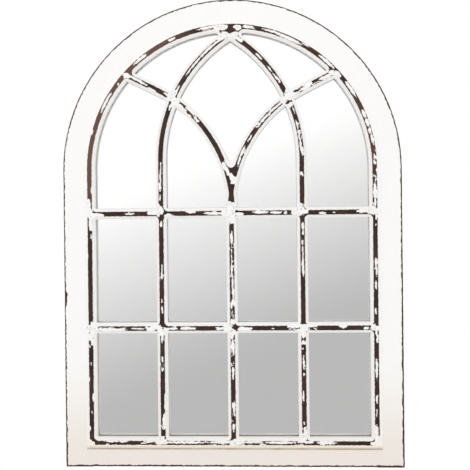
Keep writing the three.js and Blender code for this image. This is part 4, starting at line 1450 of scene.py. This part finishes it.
spins = np.random.default_rng(21).uniform(0, quarter, len(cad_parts))
for spin, node in zip(spins, sorted(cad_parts)):
    body, piece = "frame", None
    if "screw" in node:
        piece = buildScrew(node, spin)
    elif node.startswith("turn_button"):
        piece, body = buildButton(node, node.replace("button", "button_screw")), node
    elif node.startswith("hanger_ring"):
        piece, body = buildRing(node), node
    elif node.startswith("hanger_strap"):
        piece = buildStrap(node)
    elif node.startswith("bumper"):
        piece = buildBumper(node)
    if piece:
        kind, slot = ("rubber", "rubber") if node.startswith("bumper") else ("steel", "zinc_steel")
        finishPiece(piece, materials[kind], slot, body, node)
print("hardware done")

finishes = {"back_panel": "hardboard", "tenon": "timber"}
for name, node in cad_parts.items():
    kind = next((finishes[start] for start in finishes if name.startswith(start)), None)
    if kind:
        for place in node.material_slots:
            place.material = materials[kind]


# floor, light and camera

floorSize = {"wide": 2.2, "near": -3.0, "far": 0.35, "level": -1.25}


def makeFloor():
    wide, near, far, level = floorSize.values()
    corners = [(-wide, near, level), (wide, near, level), (wide, far, level), (-wide, far, level)]
    mesh = bpy.data.meshes.new("floor")
    mesh.from_pydata(corners, [], [(0, 1, 2, 3)])
    floor = bpy.data.objects.new("floor", mesh)
    bpy.context.scene.collection.objects.link(floor)
    material, _, shader = newMaterial("pale floor")
    shader.inputs["Base Color"].default_value = tone(244, 243, 241)
    shader.inputs["Roughness"].default_value = 0.8
    mesh.materials.append(material)
    floor.visible_glossy = False
    floor.visible_transmission = False


light = {
    "room": 0.975,            # light from all round on the painted wood
    "offMirror": 1.5,         # the same light where it reaches the wood by way of the mirror
    "lamp": 4.0,
    "lampSize": 2.2,
    "lampAt": (-0.35, -2.3, 1.35),
}
reflection = {               # screen brightness that the mirror shows, by the direction it looks in
    "middle": 237.7, "perHeight": 266.0, "perSide": -102.6, "floor": 184.0, "top": 255.0, "loss": 0.94,
}


def makeWorld():
    # white behind the object, even light on it, and a soft gradient for the mirror to reflect
    world = bpy.data.worlds.new("studio")
    bpy.context.scene.world = world
    world.use_nodes = True
    tree = world.node_tree
    tree.nodes.clear()
    path = put(tree, "LightPath").outputs
    way = put(tree, "SeparateXYZ", {"Vector": put(tree, "TexCoord").outputs["Generated"]}).outputs
    ahead = sums(tree, "MAXIMUM", sums(tree, "ABSOLUTE", way["Y"]), 0.2)
    side = sums(tree, "DIVIDE", way["X"], ahead)
    up = sums(tree, "DIVIDE", way["Z"], ahead)
    shown = sums(tree, "MULTIPLY_ADD", up, reflection["perHeight"] / 255, reflection["middle"] / 255)
    shown = sums(tree, "MULTIPLY_ADD", side, reflection["perSide"] / 255, shown)
    shown = sums(tree, "SMOOTH_MAX", shown, reflection["floor"] / 255, 0.06)
    shown = sums(tree, "SMOOTH_MIN", shown, reflection["top"] / 255, 0.03)
    seen = sums(tree, "DIVIDE", sums(tree, "POWER", shown, 2.2), reflection["loss"])
    viaMirror = sums(tree, "MAXIMUM", path["Is Glossy Ray"], path["Is Transmission Ray"])
    straightOn = sums(tree, "LESS_THAN", path["Diffuse Depth"], 0.5)
    given = blendValue(tree, straightOn, light["offMirror"], seen)
    strength = blendValue(tree, viaMirror, light["room"], given)
    whole = sums(tree, "SUBTRACT", 1.0, strength)
    strength = sums(tree, "MULTIPLY_ADD", path["Is Camera Ray"], whole, strength)
    background = put(tree, "Background", {"Color": (1, 1, 1, 1), "Strength": strength})
    output = put(tree, "OutputWorld")
    tree.links.new(background.outputs[0], output.inputs["Surface"])


def makeLamp():
    data = bpy.data.lights.new("softbox", "AREA")
    data.energy = light["lamp"]
    data.size = light["lampSize"]
    data.shape = "SQUARE"
    lamp = bpy.data.objects.new("softbox", data)
    bpy.context.scene.collection.objects.link(lamp)
    lamp.location = light["lampAt"]
    aim = mathutils.Vector((0, 0, -0.24)) - lamp.location
    lamp.rotation_euler = aim.to_track_quat("-Z", "Y").to_euler()
    lamp.visible_glossy = False
    lamp.visible_transmission = False


view = {
    "place": (0.0731, -1.750, -0.14535),
    "yaw": -0.037334, "pitch": -0.00035, "roll": -0.010495,
    "lens": 56.1, "sensor": 36.0, "shift": -0.0881,
}


def makeCamera():
    data = bpy.data.cameras.new("camera")
    data.lens = view["lens"]
    data.sensor_width = view["sensor"]
    data.shift_y = view["shift"]
    camera = bpy.data.objects.new("camera", data)
    bpy.context.scene.collection.objects.link(camera)
    yaw, pitch, roll = view["yaw"], view["pitch"], view["roll"]
    ahead = np.array([math.sin(yaw) * math.cos(pitch), math.cos(yaw) * math.cos(pitch), math.sin(pitch)])
    right = np.array([math.cos(yaw), -math.sin(yaw), 0])
    above = np.cross(right, ahead)
    turnedRight = math.cos(roll) * right + math.sin(roll) * above
    turnedUp = math.cos(roll) * above - math.sin(roll) * right
    axes = mathutils.Matrix((turnedRight, turnedUp, -ahead)).transposed()
    camera.matrix_world = mathutils.Matrix.Translation(view["place"]) @ axes.to_4x4()
    bpy.context.scene.camera = camera


makeFloor()
makeWorld()
makeLamp()
makeCamera()
bpy.context.scene.view_settings.view_transform = "Standard"
print("stage ready")
